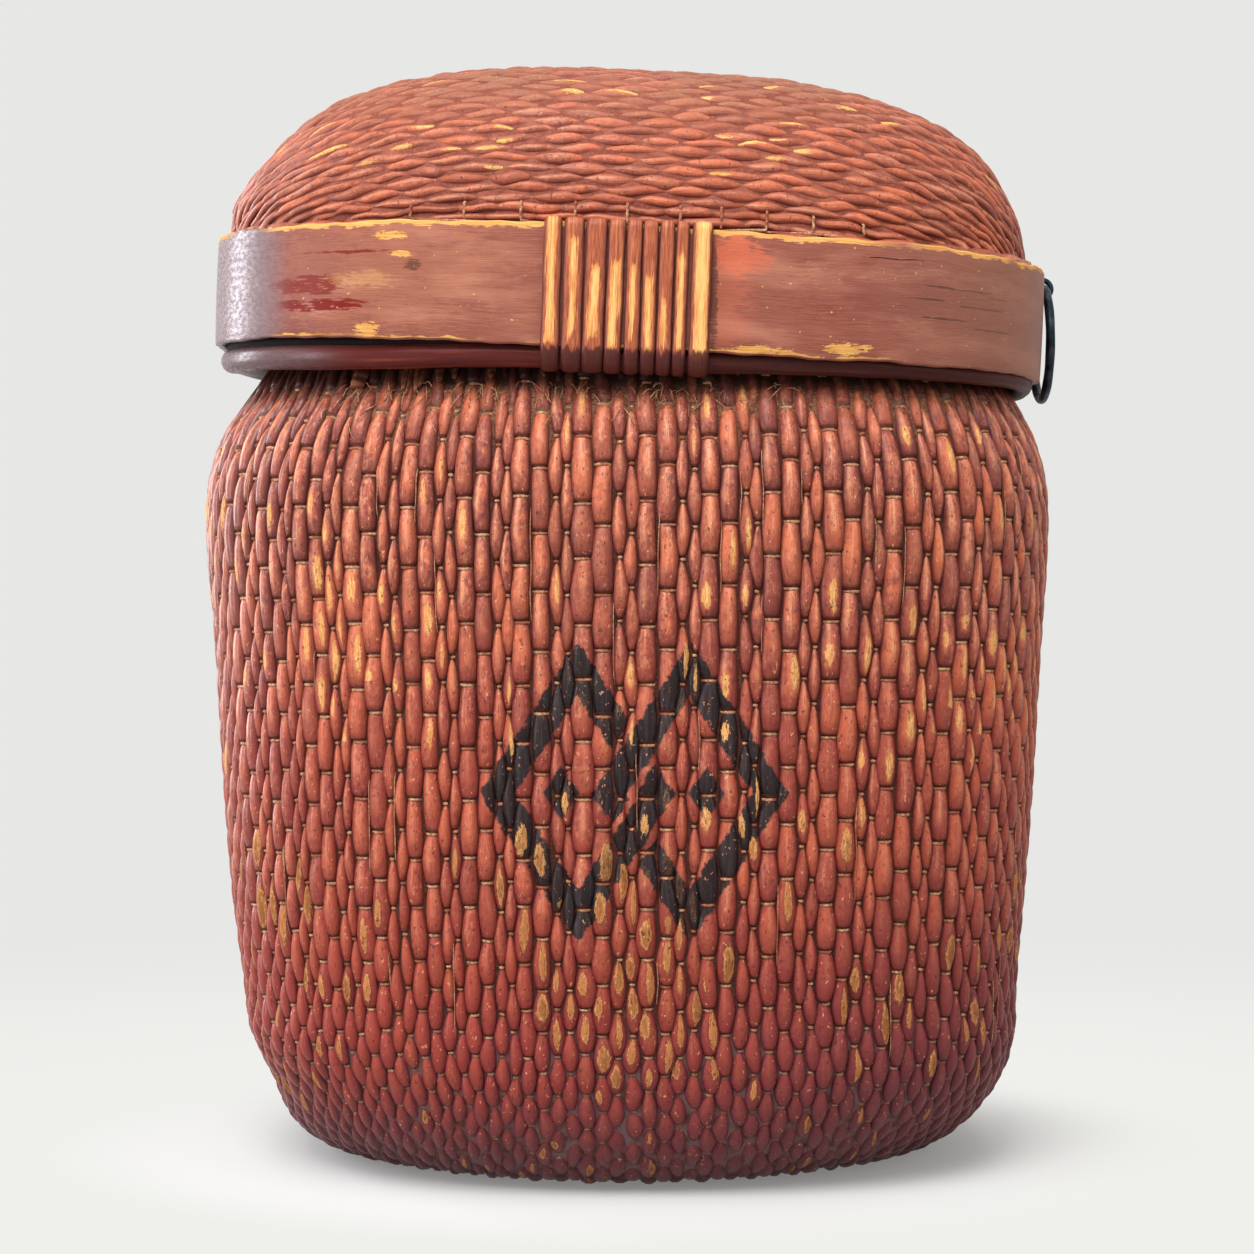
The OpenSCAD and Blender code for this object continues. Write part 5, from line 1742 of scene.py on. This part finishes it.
# Nine willow splits bound round band, wall, inner hoop and rod: their edges across the front
splitLook = {
    "edges": ((-0.0397, -0.0315), (-0.0306, -0.0215), (-0.0211, -0.0115), (-0.0111, -0.0034),
              (-0.0025, 0.0044), (0.0048, 0.0116), (0.0120, 0.0189), (0.0194, 0.0253), (0.0266, 0.0357)),
    "thick": 0.0026, "frontGap": 0.0003, "backGap": 0.0008, "low": -0.0036, "high": 0.0592, "crown": 0.0012,
    "turn": 0.0022, "seed": 3, "lean": 0.0007,
    # where each split is worn bare: middle and half width across it, and from and to down its length
    "bare": ((0.08, 0.50, -0.02, 0.84), (0.0, 0.42, 0.12, 0.79), (0.05, 0.46, 0.30, 0.80),
             (0.05, 0.54, 0.26, 0.87), (0.15, 0.34, 0.28, 0.80), (0.0, 0.50, 0.37, 0.88),
             (0.15, 0.34, 0.52, 0.86), (0.05, 0.46, 0.21, 0.87), (-0.08, 0.66, -0.04, 0.90)),
}


def splitMesh(number, left, right):
    look = splitLook
    shake = random.Random(look["seed"] + number)
    half = 0.5 * look["thick"]
    inside = innerLook["inX"] - bodyForm["depthLess"] - look["backGap"]
    outside = bandLook["outX"] - bodyForm["depthLess"] + look["frontGap"]
    low, high = (inside - half, look["low"] - half), (outside + half, look["high"] + half)
    path = denser(wrappedPath(low, high, 0.5 * (high[0] - low[0]) - 0.0004, look["turn"], 8), 0.0028)
    foot = np.array([0.5 * (left + right), 0.0, 0.0])
    centre, side, normal = loopFrame(path, foot, np.array([0.0, -1.0, 0.0]), upward)
    centre[:, 0] += shake.uniform(-look["lean"], look["lean"]) * (path[:, 1] / lidForm["bandTop"] - 0.5)
    # section: crowned outside, flat inside
    angle = np.linspace(0.0, math.pi, 7)
    section = np.stack([0.5 * np.cos(angle), 0.15 + 0.85 * np.sin(angle) ** 0.8], 1)
    section = np.concatenate([section, [[-0.5, -0.6], [-0.46, -1.0], [0.46, -1.0], [0.5, -0.6]]])
    wide = (right - left) * (1.0 + 0.03 * np.sin(path[:, 1] * 190.0 + number))
    infront = path[:, 0] > 0.5 * (low[0] + high[0])
    out = np.where(infront, half + look["crown"] * 0.5, half)
    deep = np.where(section[None, :, 1] > 0, out[:, None], half)
    rows = np.stack([section[None, :, 0] * wide[:, None], section[None, :, 1] * deep], 2)
    face = np.tile(section[:, 0] * 2.0, (len(path), 1))
    run = np.repeat(path[:, 1:] + number * 0.13, len(section), 1)
    share = np.repeat((high[1] - path[:, 1:]) / (high[1] - low[1]), len(section), 1)
    middle, reach, start, end = look["bare"][number]
    bare = np.minimum((reach - np.abs(face - middle)) / 0.5, np.minimum(share - start, end - share) / 0.10)
    bare = np.clip(bare + 0.5, 0.0, 1.0) * infront[:, None]
    return sweep("split", *allOnLid(centre, side, normal), rows, True,
                 {"run": run, "face": face, "bare": bare, "share": share,
                  "rodId": np.full(face.shape, float(number))})


splits = [splitMesh(i, *edge) for i, edge in enumerate(splitLook["edges"])]
addPiece("lidBinding", joinMeshes("lidBinding", splits), "lid", ["lid_binding"],
         splitFinish)
print("band, rod and binding made")

# Iron staple and ring
ringLook = {"pivot": (0.208044, 0.0, 0.432314), "middle": 0.0276, "bar": 0.0024, "rings": 120, "sides": 16,
            "uneven": 0.025}
stapleLook = {"level": 0.052, "x": 0.2062, "arch": 0.0044, "wire": 0.0014, "legEnd": 0.1890, "clinch": 0.009,
              "bend": 0.002, "sides": 12}


def ringMesh():
    look = ringLook
    angle = turns(look["rings"])
    outward = np.stack([np.zeros(len(angle)), np.cos(angle), np.sin(angle)], 1)
    centre = outward * look["middle"] + np.array(look["pivot"]) - np.array([0.0, 0.0, look["middle"]])
    across = np.tile([1.0, 0.0, 0.0], (len(angle), 1))
    size = look["bar"] * (1.0 - look["uneven"] * (1.0 + np.sin(angle * 9.0)))
    section = roundSection(1.0, 1.0, look["sides"])[None] * size[:, None, None]
    return sweep("sideRing", centre, across, outward, section, True)


# Leg of the staple from its clinched end behind the hoop out to the arch
def stapleLeg(side):
    look, bend = stapleLook, stapleLook["bend"]
    level = side * look["arch"]
    leg = [(look["legEnd"], -side * (bend + look["clinch"] * (1.0 - k / 5.0)), level) for k in range(6)]
    for k in range(1, 7):
        a = 0.5 * math.pi * k / 6
        leg.append((look["legEnd"] + bend * math.sin(a), -side * bend * math.cos(a), level))
    start = look["legEnd"] + bend
    return leg + [(start + (look["x"] - start) * k / 7.0, 0.0, level) for k in range(1, 8)]


def stapleMesh():
    look = stapleLook
    arch = [(look["x"] + look["arch"] * math.cos(a), 0.0, look["arch"] * math.sin(a))
            for a in np.linspace(-0.5 * math.pi, 0.5 * math.pi, 17)[1:-1]]
    path = np.array(stapleLeg(-1.0) + arch + stapleLeg(1.0)[::-1])
    path[:, 2] += look["level"]
    along = unit(np.gradient(path, axis=0))
    across = np.tile([0.0, 1.0, 0.0], (len(path), 1))
    flat = np.abs(along[:, 1]) > 0.9
    across = across - along * np.sum(across * along, 1)[:, None]
    across = unit(across + flat[:, None] * np.array([1.0, 0.0, 0.0]))
    across = unit(across - along * np.sum(across * along, 1)[:, None])
    for k in range(1, len(path)):
        if np.dot(across[k], across[k - 1]) < 0.0:
            across[k] *= -1.0
    rail = allOnLid(path, across, unit(np.cross(along, across)))
    return sweep("ringStaple", *rail, roundSection(look["wire"], look["wire"], look["sides"]))


addPiece("sideRing", ringMesh(), "ring", ["side_ring"], iron)
addPiece("ringStaple", stapleMesh(), "lid", ["ring_staple"], iron)
print("ring and staple made")

# Studio: pale floor that fades into the background, soft key from the upper left, weak fill
studioLook = {"backdrop": srgb(231, 231, 229), "floor": srgb(222, 222, 220), "bounce": srgb(184, 180, 176),
              "floorGlow": srgb(239, 239, 236), "nearFloor": srgb(230, 229, 225), "worldLight": 0.45,
              "nearFrom": (-0.22, -0.42), "fades": (0.35, 1.1), "shadow": (0.155, 0.31), "lifted": 0.22,
              "floorSize": 8.0, "aim": (0.0, 0.0, 0.26)}
plainLight, coolLight = (1.0, 1.0, 1.0), (0.90, 0.93, 1.0)
lampLook = {"keyLight": ((-0.42, -1.40, 1.85), 41.0, (1.1,), plainLight),
            "topLight": ((0.1, -0.45, 2.0), 12.0, (1.2,), plainLight),
            "fillLight": ((1.5, -1.1, 1.0), 7.0, (1.2,), plainLight),
            "sideLight": ((-1.4, -0.72, 0.5), 13.0, (0.42, 1.2), coolLight),
            "rimLight": ((-1.45, 0.62, 0.60), 14.0, (0.5, 1.0), coolLight)}
for name, (place, power, size, tint) in lampLook.items():
    data = bpy.data.lights.new(name, "AREA")
    data.energy = power
    data.color = tint
    data.shape = "RECTANGLE" if len(size) == 2 else "SQUARE"
    data.size = size[0]
    if len(size) == 2:
        data.size_y = size[1]
    light = addObject(name, data)
    lookAt(light, place, studioLook["aim"])


# The camera and every reflection see the pale surroundings, while diffuse light comes from plainer ones
def seenDirectly(t):
    camera, glossy, through = (t.node("ShaderNodeLightPath", None, None, kind)
                               for kind in ("Is Camera Ray", "Is Glossy Ray", "Is Transmission Ray"))
    return t.either(t.either(camera, glossy), through)


floorMesh = bpy.data.meshes.new("studioFloor")
size = studioLook["floorSize"]
corners = [(-size, -size, 0), (size, -size, 0), (size, size, 0), (-size, size, 0)]
floorMesh.from_pydata(corners, [], [(0, 1, 2, 3)])
floor = addObject("studioFloor", floorMesh)
floor.location.z = -0.0003
material, t = startMaterial("studioFloor")
place = t.node("ShaderNodeTexCoord", None, None, "Object")
spread = t.node("ShaderNodeVectorMath", {"operation": "MULTIPLY"}, [place, (1.0, 1.5, 1.0)])
away = t.node("ShaderNodeVectorMath", {"operation": "LENGTH"}, [spread], "Value")
seen = seenDirectly(t)
tone = t.mix(seen, studioLook["bounce"], studioLook["floor"])
plainFloor = t.node("ShaderNodeBsdfDiffuse", None, {"Color": tone}, "BSDF")
nearby = t.smooth(t.parts(place)[1], *studioLook["nearFrom"])
shade = t.mix(nearby, studioLook["floorGlow"], studioLook["nearFloor"])
shade = t.mix(t.smooth(away, *studioLook["fades"]), shade, studioLook["backdrop"])
glow = t.node("ShaderNodeEmission", None, {"Color": shade}, "Emission")
clear = t.smooth(away, *studioLook["shadow"]) * (1.0 - studioLook["lifted"]) + studioLook["lifted"]
faded = t.node("ShaderNodeMixShader", None, [clear * seen, plainFloor, glow])
t.node("ShaderNodeOutputMaterial", None, {"Surface": faded})
floorMesh.materials.append(material)

world = bpy.data.worlds.new("studio")
bpy.context.scene.world = world
world.use_nodes = True
t = Tree(world.node_tree)
level = seenDirectly(t) * (1.0 - studioLook["worldLight"]) + studioLook["worldLight"]
glow = {"Color": studioLook["backdrop"], "Strength": level}
back = t.node("ShaderNodeBackground", None, glow, "Background")
t.node("ShaderNodeOutputWorld", None, {"Surface": back})
bpy.context.scene.view_settings.view_transform = "Standard"
print("studio lit")
